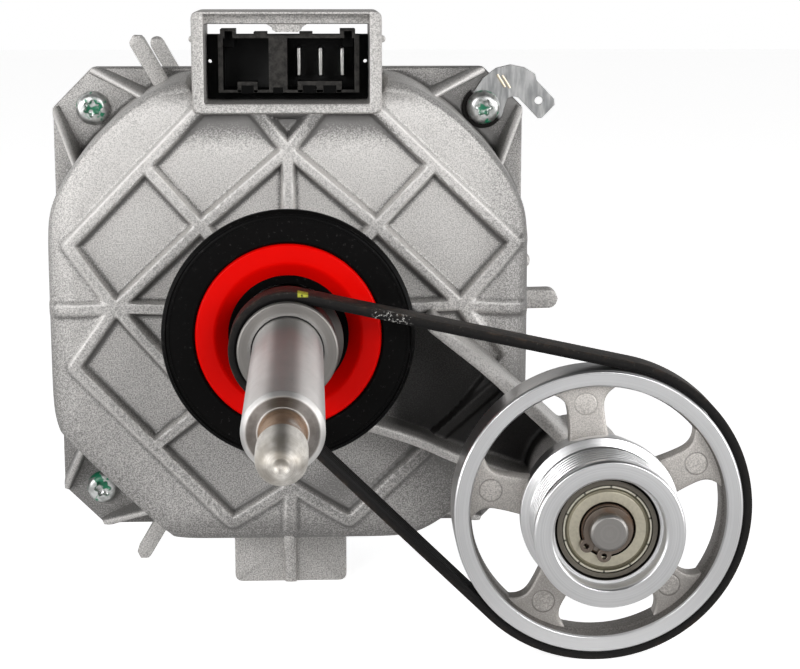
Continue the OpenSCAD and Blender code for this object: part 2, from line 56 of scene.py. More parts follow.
def gridPart(points, closeRows=False, closeColumns=False):
    rows, columns = points.shape[:2]
    i = np.arange(rows if closeRows else rows - 1)[:, None]
    j = np.arange(columns if closeColumns else columns - 1)[None, :]
    nextI, nextJ = (i + 1) % rows, (j + 1) % columns
    corners = [i * columns + j, nextI * columns + j, nextI * columns + nextJ, i * columns + nextJ]
    return points, np.stack(corners, -1).reshape(-1, 4)


def joined(parts):
    points, faces, start = [], [], 0
    for somePoints, someFaces in parts:
        points.append(somePoints.reshape(-1, 3))
        faces.append(someFaces + start)
        start += points[-1].shape[0]
    return np.concatenate(points), np.concatenate(faces)


def addPiece(name, parts, body, material, node, slot, sharp=40, values=None, modifiers=()):
    points, faces = joined(parts)
    mesh = bpy.data.meshes.new(name)
    mesh.vertices.add(len(points))
    mesh.vertices.foreach_set("co", (points * mm).astype(np.float32).ravel())
    mesh.loops.add(faces.size)
    mesh.loops.foreach_set("vertex_index", faces.astype(np.int32).ravel())
    mesh.polygons.add(len(faces))
    mesh.polygons.foreach_set("loop_start", np.arange(0, faces.size, faces.shape[1], dtype=np.int32))
    mesh.update(calc_edges=True)
    for key, numbers in (values or {}).items():
        layer = mesh.attributes.new(key, "FLOAT", "POINT")
        layer.data.foreach_set("value", numbers.astype(np.float32).ravel())
    closeUp(mesh)
    finishPiece(name, mesh, body, material, node, sharp, modifiers)


# Merges the doubled points of seams and poles and turns every face outwards
def closeUp(mesh):
    form = bmesh.new()
    form.from_mesh(mesh)
    bmesh.ops.remove_doubles(form, verts=form.verts, dist=2e-6)
    bmesh.ops.dissolve_degenerate(form, edges=form.edges, dist=1e-7)
    bmesh.ops.recalc_face_normals(form, faces=form.faces)
    form.to_mesh(mesh)
    form.free()


def finishPiece(name, mesh, body, material, node, sharp, modifiers):
    piece = bpy.data.objects.new(name, mesh)
    bpy.context.scene.collection.objects.link(piece)
    mesh.materials.clear()
    mesh.materials.append(material)
    for kind, settings in modifiers:
        change = piece.modifiers.new(kind.lower(), kind)
        for key, value in settings.items():
            setattr(change, key, value)
    if any(kind == "REMESH" for kind, settings in modifiers):
        graph = bpy.context.evaluated_depsgraph_get()
        done = bpy.data.meshes.new_from_object(piece.evaluated_get(graph))
        piece.modifiers.clear()
        piece.data = done
    piece.data.shade_smooth()
    piece.data.set_sharp_from_angle(angle=np.radians(sharp))
    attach(piece, body)
    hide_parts(node)


def softened(voxel, rounds):
    return [("REMESH", {"mode": "VOXEL", "voxel_size": voxel * mm}),
            ("SMOOTH", {"factor": 0.5, "iterations": rounds})]


def bevelled(width):
    return [("BEVEL", {"width": width * mm, "segments": 2, "limit_method": "ANGLE",
                       "angle_limit": np.radians(28), "miter_outer": "MITER_ARC"})]


# A copy of a CAD node with its triangles joined, for modifiers that ease its edges.
# With a reach, its corner ears stay within that distance of the axis along x and z
def easedCopy(name, node, material, modifiers, sharp=32, reach=None):
    form = bmesh.new()
    form.from_mesh(nodes[node].data)
    for spot in form.verts if reach else ():
        for k in (0, 2):
            if min(abs(spot.co.x), abs(spot.co.z)) > 38 * mm:
                spot.co[k] = max(-reach * mm, min(reach * mm, spot.co[k]))
    bmesh.ops.remove_doubles(form, verts=form.verts, dist=2e-6)
    bmesh.ops.dissolve_limit(form, angle_limit=np.radians(1.0), verts=form.verts, edges=form.edges)
    mesh = bpy.data.meshes.new(name)
    form.to_mesh(mesh)
    form.free()
    finishPiece(name, mesh, "housing", material, node, sharp, modifiers)


def ramp(value, start, end):
    t = np.clip((value - start) / (end - start), 0, 1)
    return t * t * (3 - 2 * t)


# Rounds the corners of an outline: each corner (x, y, cut) becomes a quadratic curve between two
# points that lie cut away from it along its sides
def eased(corners, steps=4, closed=True):
    corners = [tuple(c) + (0.0,) * (3 - len(c)) for c in corners]
    points = []
    for k, (x, y, cut) in enumerate(corners):
        here = np.array([x, y])
        if cut <= 0 or (not closed and k in (0, len(corners) - 1)):
            points.append(here)
            continue
        before = np.array(corners[k - 1][:2]) - here
        after = np.array(corners[(k + 1) % len(corners)][:2]) - here
        first = here + before / np.linalg.norm(before) * cut
        last = here + after / np.linalg.norm(after) * cut
        for t in np.linspace(0, 1, steps + 1):
            points.append((1 - t) ** 2 * first + 2 * t * (1 - t) * here + t * t * last)
    return np.array(points)


# A box outline with rounded corners, and the same with points along its long sides too
def boxOutline(half, low, high, cut, steps):
    return eased([(-half, low, cut), (half, low, cut), (half, high, cut), (-half, high, cut)], steps)


def filledOutline(half, low, high, cut, steps=6, side=12):
    corners = boxOutline(half, low, high, cut, steps)
    filled = []
    for p, q in zip(corners, np.roll(corners, -1, 0)):
        count = side if np.linalg.norm(q - p) > 5 else 1
        filled += [p + (q - p) * t for t in np.linspace(0, 1, count, endpoint=False)]
    return np.array(filled)


# Points (x, z) at a radius and an angle round a centre, and such points put at the depths y
def polar(radius, angle, centre=(0, 0)):
    return np.stack([centre[0] + radius * np.cos(angle), centre[1] + radius * np.sin(angle)], -1)


def upright(flat, y):
    return np.stack([flat[..., 0], np.broadcast_to(y, flat.shape[:-1]), flat[..., 1]], -1)


def runLength(points):
    return np.concatenate([[0], np.cumsum(np.linalg.norm(np.diff(points, axis=0), axis=1))])


# A turned part: closed profiles make rings, open ones start and end on the axis.
# Profile points (radius, y) are carried round the y axis: x = radius cos a, z = radius sin a
def turnedPart(corners, centre=(0, 0), count=128, closed=True, steps=4):
    profile = eased(corners, steps, closed)
    a = np.linspace(0, 2 * np.pi, count, endpoint=False)[:, None]
    return gridPart(upright(polar(profile[:, 0], a, centre), profile[:, 1]), True, closed)


# The length along the profile of each turned part, so that turning marks follow the surface
def latheValues(parts):
    values = [np.broadcast_to(runLength(points[0]), points.shape[:2]).ravel() for points, faces in parts]
    return {"lathe": np.concatenate(values)}


def addTurned(name, corners, body, material, node, slot, centre=(0, 0), count=128, closed=True, steps=4):
    parts = [turnedPart(corners, centre, count, closed, steps)]
    addPiece(name, parts, body, material, node, slot, 35, latheValues(parts))


# Carries a closed section (offset across the path, y) along a path of (x, z) points.
# Every point is path + normal * offset, at the depth y of the section
def sweptPoints(path, section, closed=True):
    ahead = np.roll(path, -1, 0) - np.roll(path, 1, 0) if closed else np.gradient(path, axis=0)
    ahead = ahead / np.linalg.norm(ahead, axis=1)[:, None]
    normal = np.stack([ahead[:, 1], -ahead[:, 0]], -1)
    return upright(path[:, None, :] + normal[:, None, :] * section[None, :, 0, None], section[:, 1])


# Closes both ends of a sweep with a point in the middle of each end section
def cappedPart(points):
    first, last = (points[[k]].mean(axis=1, keepdims=True).repeat(points.shape[1], axis=1) for k in (0, -1))
    return gridPart(np.concatenate([first, points, last]), False, True)


# A solid bar between two depths along a path, with rounded section corners
def barPart(path, width, low, high, cut=0.4):
    return cappedPart(sweptPoints(np.array(path, float), boxOutline(width / 2, low, high, cut, 2), False))


# A flat part: its outline is scaled about its middle by the share t of each row (t, y)
def slabPart(outline, rows):
    share, depth = np.array(rows, float).T
    middle = outline.mean(0)
    return gridPart(upright(middle + (outline[:, None] - middle) * share[:, None], depth), True)


def smoothPath(corners):
    line = eased([(x, z, 4.0) for x, z in corners], 6, False)
    length = runLength(line)
    spots = np.linspace(0, length[-1], int(length[-1]) + 2)
    return np.stack([np.interp(spots, length, line[:, k]) for k in (0, 1)], -1)


# Distance from every (x, z) to a line of points, and signed distance to an outline (inside is positive)
def lineDistance(x, z, line):
    best = np.full(np.shape(x), 1e9)
    for (ax, az), (bx, bz) in zip(line[:-1], line[1:]):
        dx, dz = bx - ax, bz - az
        t = np.clip(((x - ax) * dx + (z - az) * dz) / (dx * dx + dz * dz), 0, 1)
        best = np.minimum(best, np.hypot(x - ax - t * dx, z - az - t * dz))
    return best


def insideDistance(x, z, outline):
    inside = np.zeros(np.shape(x), bool)
    around = list(outline) + [outline[0]]
    for (ax, az), (bx, bz) in zip(around[:-1], around[1:]):
        crosses = (az > z) != (bz > z)
        inside ^= crosses & (x < ax + (bx - ax) * (z - az) / (bz - az + 1e-12))
    return np.where(inside, 1, -1) * lineDistance(x, z, around)


# Materials. A Wire is one shader socket, and arithmetic on it adds Math nodes

class Wire:
    def __init__(self, net, socket):
        self.net, self.socket = net, socket

    def maths(self, operation, *others):
        return self.net.node("Math", {"operation": operation}, [self, *others])

    def __add__(self, other):
        return self.maths("ADD", other)

    def __mul__(self, other):
        return self.maths("MULTIPLY", other)

    def __sub__(self, other):
        return self.maths("SUBTRACT", other)

    def __rsub__(self, other):
        return self.net.node("Math", {"operation": "SUBTRACT"}, [other, self])

    def __pow__(self, other):
        return self.maths("POWER", other)

    __radd__, __rmul__ = __add__, __mul__

    def limited(self, low, high):
        return self.net.node("MapRange", {"interpolation_type": "SMOOTHSTEP"}, [self, low, high, 0.0, 1.0])

    # 0 outside the first and last value, and 1 between the middle two
    def between(self, low, full, still, high):
        return self.limited(low, full) * (1 - self.limited(still, high))

    def size(self):
        return self.maths("ABSOLUTE")


class Net:
    def __init__(self, tree):
        self.tree = tree

    def node(self, kind, settings, inputs, output=0):
        made = self.tree.nodes.new("ShaderNode" + kind)
        for key, value in settings.items():
            setattr(made, key, value)
        for key, value in inputs.items() if isinstance(inputs, dict) else enumerate(inputs):
            self.feed(made.inputs[key], value)
        return Wire(self, made.outputs[output])

    def feed(self, socket, value):
        if isinstance(value, Wire):
            self.tree.links.new(value.socket, socket)
        elif socket.type == "RGBA":
            socket.default_value = (*value, 1)
        else:
            socket.default_value = value


class Paint(Net):
    def __init__(self, name, **sockets):
        self.material = bpy.data.materials.new(name)
        self.material.use_nodes = True
        super().__init__(self.material.node_tree)
        self.shader = self.tree.nodes["Principled BSDF"]
        self.set(**sockets)
        self.place = self.node("TexCoord", {}, [], "Object")

    def set(self, **sockets):
        for key, value in sockets.items():
            self.feed(self.shader.inputs[key.replace("_", " ")], value)

    def finished(self, color, roughness, normal, **sockets):
        self.set(Base_Color=color, Roughness=roughness, Normal=normal, **sockets)
        return self.material

    def noise(self, scale, detail=2.0, roughness=0.5, stretch=None):
        where = self.node("Mapping", {}, {"Vector": self.place, "Scale": stretch}) if stretch else self.place
        return self.node("TexNoise", {}, {"Vector": where, "Scale": scale, "Detail": detail,
                                          "Roughness": roughness})

    # One-dimensional noise along the lathe profile
    def turning(self, scale, detail, roughness=0.5):
        return self.node("TexNoise", {"noise_dimensions": "1D"}, {
            "W": self.value("lathe"), "Scale": scale, "Detail": detail, "Roughness": roughness})

    def value(self, name):
        return self.node("Attribute", {"attribute_name": name}, [], "Fac")

    def mix(self, amount, first, second):
        return self.node("Mix", {"data_type": "RGBA"}, {0: amount, 6: first, 7: second}, 2)

    def bump(self, height, depth, strength=1.0, **under):
        return self.node("Bump", {}, {"Strength": strength, "Distance": depth * mm, "Height": height,
                                      **under})

    def axis(self, letter):
        return self.node("SeparateXYZ", {}, [self.place], "XYZ".index(letter))

    def level(self, letter):       # in millimetres
        return self.axis(letter) * 1000.0


castLook = {
    "light": (0.725, 0.705, 0.685),
    "dark": (0.19, 0.185, 0.18),
    "grainSize": 0.31,
    "grainDepth": 0.11,
    "paintedShadeBelow": 0.46,          # painted shade: how much darker the casting is painted towards the floor, as light falls from above
}


# How far a spot lies in the pocket between the two walls of the bracket arm, 0 to 1, where painted shade
# turns
# the casting nearly black: it is below the upper wall, above the lower one, and behind their front edges
def pocketShadeMask(paint):
    x, y, z = (paint.level(k) for k in "XYZ")
    below = (1.5 - (x - 31.5) * 0.887 - z) * 0.748
    above = (z + 23.0 + (x - 17.0) * 0.355) * 0.94
    within = below.limited(0.6, 1.8) * above.limited(0.6, 2.0) * x.limited(19.0, 26.0)
    return within * y.between(31.0, 36.0, 43.0, 44.0) * (0.88 + x.limited(40.0, 52.0) * 0.10)


# Blasted die casting: fine light and dark grains and soft cloudy patches. Painted shade darkens it towards
# the floor and in the arm's pocket, and a painted highlight lightens the parts that stand furthest forward
def castPaint(name, light, dark, paintedShadeBelow, relief=False):
    paint = Paint(name, Metallic=0.62, Specular_IOR_Level=0.5)
    grain = paint.noise(1 / (castLook["grainSize"] * mm), 3.0, 0.65)
    fleck = paint.noise(0.4 / (castLook["grainSize"] * mm))
    cloud = paint.noise(28.0, 3.0, 0.55)
    # Painted shade: the casting gets darker towards the floor, as light falls from above
    high = paint.axis("Z").limited(-0.055, 0.06)
    tone = grain.limited(0.35, 0.65) * 0.70 + fleck.limited(0.3, 0.7) * 0.10 + cloud.limited(0.3, 0.7) * 0.14
    tone = tone + high * paintedShadeBelow + (0.15 - paintedShadeBelow * 0.55)
    # The shield's painted light value adds painted highlights and painted shade
    if relief:
        tone = tone + paint.value("relief") * 0.45
    front = 1 - paint.level("Y").limited(29.0, 34.0)      # painted highlight on the parts furthest forward: the arm's front edges, its boss and the shield's neck
    color = paint.mix((tone + front * 0.25).limited(-0.25, 1.2), dark, light)
    # Painted shade in the arm's pocket, nearly black
    color = paint.mix(pocketShadeMask(paint), color, (0.012, 0.011, 0.011))
    return paint.finished(color, 0.42 + grain * 0.22, paint.bump(grain, castLook["grainDepth"], 0.55))


def turnedPaint(name, color, roughness, pitch, depth=0.006):
    paint = Paint(name, Metallic=1.0)
    marks, band = paint.turning(1 / pitch, 3.0), paint.turning(0.35 / pitch, 2.0)
    shade = marks * 0.25 + band * 0.25 + paint.noise(90.0, 3.0) * 0.2
    darker = tuple(0.72 * c for c in color)
    return paint.finished(paint.mix(shade.limited(0.1, 0.65), darker, color), roughness + band * 0.12,
                          paint.bump(marks, depth))


def steelPaint(name, color, roughness, stain=None):
    paint = Paint(name, Metallic=1.0)
    cloud, fine = paint.noise(60.0, 4.0, 0.6), paint.noise(840.0)
    base = paint.mix((cloud * 0.65 + fine * 0.35).limited(0.3, 0.7), tuple(0.75 * c for c in color), color)
    if stain:
        base = paint.mix(cloud.limited(0.5, 0.62), base, stain)
    return paint.finished(base, roughness + fine * 0.12, paint.bump(fine, 0.01))


def plasticPaint(name, color, roughness, grain=0.02, scale=900.0, gloss=0.45):
    paint = Paint(name, Specular_IOR_Level=gloss)
    fine, cloud = paint.noise(scale), paint.noise(40.0)
    return paint.finished(paint.mix(cloud, tuple(0.8 * c for c in color), color), roughness + fine * 0.15,
                          paint.bump(fine, grain))


# Black rubber with fine grey specks of dust
def rubberPaint():
    paint = Paint("blackRubber", Specular_IOR_Level=0.06)
    fine, dust = paint.noise(700.0), paint.noise(1100.0, 3.0, 0.75)
    color = paint.mix(dust.limited(0.60, 0.74), (0.0032, 0.003, 0.003), (0.035, 0.033, 0.032))
    return paint.finished(color, 0.30 + fine * 0.2, paint.bump(fine, 0.012))


# Connector plastic: grainy dark grey on its front edges, and painted shade that turns it black further in
def connectorPaint():
    paint = Paint("blackPlastic", Specular_IOR_Level=0.15)
    fine = paint.noise(900.0, 3.0, 0.6)
    edge = paint.mix(fine.limited(0.3, 0.7), (0.018, 0.017, 0.016), (0.046, 0.043, 0.040))
    # Painted shade: black further into the connector
    color = paint.mix(1 - paint.level("Y").limited(46.1, 47.0), (0.0025, 0.0025, 0.0025), edge)
    return paint.finished(color, 0.42 + fine * 0.15, paint.bump(fine, 0.02))


# Brushed zinc plate, with a painted shadow of the screw head where the earth tab's end runs round its screw
def tabPaint():
    paint = Paint("zincSheet", Metallic=1.0)
    cloud, streak = paint.noise(90.0, 4.0, 0.6), paint.noise(900.0, 3.0, 0.6, (1, 1, 0.14))
    x, z = (paint.level(k) - screwSpread for k in "XZ")
    # Painted shadow of the screw head, to its lower left
    paintedShadeSpot = (1 - ((x * x + z * z) ** 0.5).limited(5.0, 5.3)) * (1 - (x + z).limited(0.5, 2.5))
    color = (cloud * 0.4 + streak * 0.6).limited(0.36, 0.64)
    color = paint.mix(color, (0.36, 0.365, 0.37), (0.66, 0.66, 0.655))
    color = paint.mix(paintedShadeSpot, color, (0.02, 0.019, 0.018))
    return paint.finished(color, 0.28 + streak * 0.14, paint.bump(streak, 0.01))


shieldCast = castPaint("shieldCast", castLook["light"], castLook["dark"], castLook["paintedShadeBelow"], True)
plainCast = castPaint("plainCast", (0.70, 0.68, 0.66), (0.15, 0.145, 0.14), 0.05)
pinionTurned = turnedPaint("pinionTurned", (0.30, 0.285, 0.27), 0.36, 0.3, 0.03)
axleWorn = turnedPaint("axleWorn", (0.36, 0.345, 0.33), 0.38, 0.4)
darkPinion = turnedPaint("darkPinion", (0.10, 0.09, 0.085), 0.45, 0.3)
redRubber = plasticPaint("redRubber", (0.88, 0.002, 0.0005), 0.24, 0.006, 500.0, 0.07)
tinned = steelPaint("tinned", (0.80, 0.79, 0.76), 0.25)
pressedBars = steelPaint("pressedBars", (0.80, 0.70, 0.55), 0.30)
bearingSteel = steelPaint("bearingSteel", (0.60, 0.59, 0.58), 0.24)
darkSteel = steelPaint("darkSteel", (0.23, 0.19, 0.16), 0.38, (0.16, 0.09, 0.05))
ballSteel = steelPaint("ballSteel", (0.72, 0.72, 0.73), 0.12)
copper = steelPaint("enamelledWire", (0.55, 0.24, 0.09), 0.35)
insulation = plasticPaint("insulation", (0.80, 0.78, 0.72), 0.5)
magnetBlack = plasticPaint("magnetBlack", (0.06, 0.06, 0.065), 0.5)
leadRed = plasticPaint("leadRed", (0.48, 0.05, 0.04), 0.45)
# Near black that stands in for the shade in the connector's key slots
paintedSlotShade = plasticPaint("paintedSlotShade", (0.0015, 0.0015, 0.0015), 0.6, 0.01, 900.0, 0.1)
blackRubber, blackPlastic, zincSheet = rubberPaint(), connectorPaint(), tabPaint()
print("materials made")

# Front shield: one closed skin of (angle, row). The rows run from the bearing seat over the neck,
# the ribbed face, the cup wall and the corner flange, then back inside to the bearing seat
shield = {
    "ribTop": 38.0,
    "face": 39.0,
    "panel": 40.6,
    "ribWidth": 2.5,
    "flange": 66.0,
    "half": 56.0,
    "cornerCut": 102.6,        # x + z at the cut corners of the flange
    "angles": 640,
    "faceRows": 96,
    "faceFrom": 20.6,          # radius at which the ribbed face leaves the neck
    "faceTo": 60.6,
    "neckDepth": 34.0,
    # Cup outlines: side, bottom and top flats, circle, and x + z of the straight edges beside the screws
    "front": (53.0, 50.4, 51.8, 58.9, 84.0),
    "shoulder": (55.2, 53.4, 54.2, 60.2, 85.0),
    "foot": (55.95, 55.9, 55.9, 61.0, 86.0),
    "lowCut": 4.4,             # the lower left corner is cut deeper by this much
    "bay": (19.2, 20.4),       # half width of the connector bay, from full to none
    "bayFront": 48.2,
    "bayBack": 55.6,
    "bayDepth": 58.2,
    # Profiles as (radius, depth): from the bearing seat to the face, and from the flange back to the seat
    "neck": ((13.8, 27), (13.8, 21.2), (14.4, 20.6), (18.3, 20.5), (19.1, 20.7), (19.8, 21.4), (20.05, 23),
             (20.3, 28), (20.6, 34)),
    "hollow": ((54.6, 72), (54.55, 71.9), (54.55, 68), (52.5, 67.9), (52.5, 61.0), (52.5, 60.0), (52.5, 46.6),
               (51.6, 44.5), (49.5, 43.6), (17.7, 43.6), (17.5, 43.4), (17.5, 27.1), (17.4, 27)),
}
ofShield = ("front_shield", "shield_casting")
# How deep the panels are scooped below the connector frame, and how strong the painted shade is there, by
# the bracket arm and on the lower right panel, and towards the face's right side
faceScoopAndShade = {"scoop": 1.2, "underFrame": 3.3, "paintedShadeSpot": 1.7, "rightSide": 0.7}

topMeet, lowMeet, leftMeet, rightMeet = (0, 38.8), (0, -39.6), (-39.7, 2.9), (39.4, 3.1)
ribLines = [
    [(-20.4, 47.5), (-50, 17.2), leftMeet, (-49.5, -10.9), (-13.8, -48.3), lowMeet],
    [(20.4, 47.5), (52, 17.4), rightMeet, (20, 21.6), topMeet, (-20, 21.6), leftMeet],
    [(-7.2, 47.5), topMeet, (7.2, 47.5)],
    [topMeet, (0, 20)],
    [(-31, 33.8), (-14, 15)],
    [(32.3, 34.4), (14, 15)],
    [leftMeet, (-20, -20), lowMeet, (13.6, -48.2), (31, -31.6)],
    [(-31.5, -29.7), (-14, -16)],
    [(33.6, -28.6), (48, -15.8)],
    [leftMeet, (-54, 2.3)], [leftMeet, (-18, 2.3)],
    [rightMeet, (54, 2.1)], [rightMeet, (18, 2.1)], [rightMeet, (44, -3)],
    [lowMeet, (-0.5, -53)],
]
recessOutline = [(-20.4, 47), (-50, 17.2), (-40, 2.6), (-49.5, -10.9), (-13.8, -48.3), (0, -41),
                 (13.6, -48.2), (31, -31.6), (49, -9), rightMeet, (52, 17.4), (20.4, 47)]


# A soft spot that is 1 at its middle, with its own reach along x and z
def blob(x, z, reachX, reachZ):
    return np.exp(-(x / reachX) ** 2 - (z / reachZ) ** 2)


# Depth y of the ribbed face at (x, z), and a painted light value: painted highlights on rib edges, and
# painted shade at their feet, below the connector frame, by the bracket arm, on the lower right panel and
# towards the right side
def faceDepth(x, z):
    def near(dx, dz):
        return np.min([lineDistance(x + dx, z + dz, line) for line in ribLines], axis=0)

    recess = ramp(insideDistance(x, z, recessOutline), -0.5, 0.5)
    base = shield["face"] + (shield["panel"] - shield["face"]) * recess
    away, r, h = near(0, 0), np.hypot(x, z), shield["ribWidth"] / 2
    outX, outZ = 0.4 * x / r, 0.4 * z / r
    # 1 where the nearest rib lies above the spot and further out, -1 where it lies below and further in
    under = near(0, -0.4) - near(0, 0.4) + near(-outX, -outZ) - near(outX, outZ)
    under = np.clip(under / 1.6, -1, 1)
    rib = 1 - ramp(away, h - 0.25, h + 0.75)
    depth = base + (shield["ribTop"] - base) * rib
    fill = ramp(insideDistance(x, z, [(-7.4, 47.6), (0, 38.6), (7.4, 47.6)]), -0.3, 0.4)
    depth = depth + (shield["ribTop"] + 0.5 - depth) * fill * (1 - rib)
    pocket = ramp(insideDistance(x, z, [(-3.9, 46.4), (0, 41.6), (3.9, 46.4)]), -0.2, 0.7)
    depth = depth + (shield["panel"] + 0.8 - depth) * pocket
    # Painted light from above: a painted highlight on the upper edges of the ribs and painted shade at their
    # lower feet
    edge = blob(away - h + 0.1, 0, 0.4, 1) * (0.6 - 0.4 * under)
    edge = edge - blob(away - h - 0.75, 0, 0.42 + 0.2 * under, 1) * (0.9 + recess * 0.9) * (1 + 0.6 * under)
    neck = shield["neckDepth"] + np.maximum(r - shield["faceFrom"], 0) / 3.6 * 6.6
    depth = np.minimum(depth, neck + 0.35 * ramp(r, 23, 24.5))
    scoop = blob(np.abs(x) - 14.5, z - 46.0, 6.5, 5.0) * (1 - rib) * recess
    # Painted shade below the connector frame
    shade = (1 - ramp(46.8 - z, -1.0, 8.5)) * recess * (1 - 0.4 * rib)
    # Painted shade by the bracket arm and on the lower right panel
    paintedShadePatch = blob(x - 40, z + 27, 14, 14) + 0.7 * blob(x - 11, z + 40, 8, 5)
    tone = edge - shade * faceScoopAndShade["underFrame"] - paintedShadePatch * faceScoopAndShade["paintedShadeSpot"]
    # Painted shade towards the right side
    tone = tone - ramp(x, 42, 53) * faceScoopAndShade["rightSide"]
    return depth + scoop * faceScoopAndShade["scoop"], tone


# Radius at which a ray from the axis leaves an outline of four flats, a circle and cut corners. The flats
# and the circle meet softly
def outlineRadius(c, s, side, bottom, top, circle, corner):
    flats = [side / np.maximum(np.abs(c), 1e-6),
             np.where(s > 0, top, bottom) / np.maximum(np.abs(s), 1e-6), circle + 0 * c]
    sharpness = 60.0
    soft = np.sum([f ** -sharpness for f in flats], axis=0) ** (-1 / sharpness)
    return np.minimum(soft, corner / (np.abs(c) + np.abs(s)))


def buildShield():
    a = np.linspace(0, 2 * np.pi, shield["angles"], endpoint=False)
    c, s = np.cos(a), np.sin(a)
    rows = []

    # Each ring has a radius, a depth and a painted light value
    def ring(radius, depth, relief=0.0):
        rows.append([radius + 0 * a, depth + 0 * a, relief + 0 * a])

    for radius, depth in shield["neck"]:
        ring(radius, depth, 0.15)
    low = np.where((s < 0) & (c < 0), shield["lowCut"], 0.0)
    front, shoulder, foot = (outlineRadius(c, s, *shield[key][:4], shield[key][4] - low)
                             for key in ("front", "shoulder", "foot"))
    flange = outlineRadius(c, s, *[shield["half"]] * 3, 200.0, shield["cornerCut"])
    # Behind the connector the cup is cut away, down to the back of the connector frame
    rise = np.maximum(s, 0.2)
    cut = shield["bayFront"] / rise
    bay = (1 - ramp(np.abs(cut * c), *shield["bay"])) * (s > 0.5)
    front = front + (cut - front) * bay
    corner = ramp(np.minimum(np.abs(c), np.abs(s)), 0.4, 0.65)
    start = shield["faceFrom"]
    for reach in np.linspace(start, shield["faceTo"], shield["faceRows"] + 1)[1:]:
        radius = np.minimum(reach, front)
        depth, relief = faceDepth(radius * c, radius * s)
        # Painted shade where the face bends back at its edge
        bend = np.maximum((radius - start) / (front - start) - 0.86, 0) / 0.14
        ring(radius, depth + bend ** 2 * (1.6 - 1.2 * corner) * (1 - bay), relief - 0.4 * bend)
    edge = rows[-1][1]
    # Painted shade on the shoulder, the cup wall and the flange behind, more towards the right side
    for turn in np.linspace(0, np.pi / 2, 7)[1:]:
        radius = front + (shoulder - front) * np.sin(turn)
        ring(radius + (cut - radius) * bay, edge + 3.0 * (1 - np.cos(turn)),
             -0.5 - 0.3 * turn - 0.9 * ramp(c, 0.3, 0.8))
    wallY = edge + 3.0
    for t, bayShare in ((0.1, 0.35), (0.3, 1.0), (0.55, 1.0), (0.8, 1.0), (0.93, 1.0)):
        radius = shoulder + (foot - shoulder) * t
        depth = wallY + (64.6 - wallY) * t
        bayRadius = cut + (shield["bayBack"] / rise - cut) * ramp(t, 0.2, 0.7)
        bayDepth = wallY + (shield["bayDepth"] - wallY) * bayShare
        ring(radius + (bayRadius - radius) * bay, depth + (bayDepth - depth) * bay, -0.6)
    paintedShadePatch = ramp(np.minimum(c, s), 0.5, 0.68)       # painted shade round the earth tab's screw
    level = shield["flange"]
    for grow, depth, dark in ((0.0, 65.0, 1.6), (0.35, 65.7, 1.8), (1.1, level, 1.5), (3.6, level, 0.6)):
        ring(np.minimum(foot + grow, flange - 0.6 - 0.1 * (4 - grow)), depth, -dark - 1.1 * paintedShadePatch)
    for grow, depth in ((-0.5, level), (-0.15, 66.12), (0.0, 66.5), (0.0, 69.0), (0.0, 71.5), (-0.5, 72.0)):
        ring(flange + grow, depth, -0.9 - 1.8 * paintedShadePatch)
    inside = cut - 1.5       # the hollow keeps clear of the connector
    for radius, depth in shield["hollow"]:
        ring(radius + (np.minimum(radius, inside) - radius) * bay if depth < 60.5 else radius, depth)
    radii, depths, paintedShadings = np.array(rows).transpose(1, 2, 0)
    skin = gridPart(upright(polar(radii, a[:, None]), depths), True, True)
    addPiece("shieldSkin", [skin], "housing", shieldCast, *ofShield, 50, {"relief": paintedShadings})


# Stiffening ribs beside the screws: each falls from the cup edge to a flange corner. Its section is carried
# along the crest line, and its rows are: offset across, share of the rib's height, and a painted light value
# that puts a painted highlight on the crest and painted shade at the feet
cornerRibs = {
    "outer": (46.6, 55.7), "inner": (32.6, 49.2), "outerY": 64.4, "innerY": 52.6, "baseY": 66.6,
    "half": 1.45, "limit": 55.9,
    "section": ((-1.5, 0.0, -0.9), (-1.0, 0.05, -1.2), (-0.8, 0.4, -1.3), (-0.62, 0.82, -0.9),
                (-0.4, 0.97, 0.3), (-0.14, 1.0, 0.6), (0.14, 1.0, 0.6), (0.4, 0.97, 0.3),
                (0.62, 0.82, -0.9), (0.8, 0.4, -1.3), (1.0, 0.05, -1.2), (1.5, 0.0, -0.9)),
}


def buildCornerRibs():
    r = cornerRibs
    t = np.linspace(0, 1, 16)[:, None]
    across, height, bright = np.array(r["section"]).T
    run = np.array(r["inner"]) - np.array(r["outer"])
    normal = np.array([run[1], -run[0]]) / np.linalg.norm(run)
    flat = (np.array(r["outer"]) + run * t)[:, None, :] + normal * (across * r["half"])[:, None]
    flat = np.minimum(flat, r["limit"])
    crest = r["outerY"] + (r["innerY"] - r["outerY"]) * t
    top = upright(flat, r["baseY"] + (crest - r["baseY"]) * height)
    base = upright(flat[:, ::-1], r["baseY"] + 0.2)
    one, faces = cappedPart(np.concatenate([top, base], 1))
    relief = np.broadcast_to(np.concatenate([bright, bright[::-1]]), one.shape[:2])
    parts = []
    for signs in ([-1, 1, -1], [-1, 1, 1], [1, 1, -1], [1, 1, 1]):
        parts += [(one * signs, faces), (one[..., ::-1] * signs, faces)]
    relief = np.tile(relief.ravel(), len(parts))
    addPiece("cornerRibs", parts, "housing", shieldCast, *ofShield, 50, {"relief": relief})


buildShield()
buildCornerRibs()
print("front shield made")

# Cast frame round the connector: the ring between two rounded rectangles, with its top bar set back
connectorFrame = {
    "halfWidth": 21.3, "bottom": 47.0, "top": 69.8,
    "innerHalf": 18.6, "innerBottom": 49.3, "innerTop": 66.9, "lipTop": 69.2,
    "front": 37.0, "back": 58.0, "setBack": 5.0,
}
nub = {"x": 21.7, "z": 63.3, "profile": [(0, 48.2), (0.8, 48.2, 0.3), (0.8, 49.8, 0.3), (0, 49.8)]}


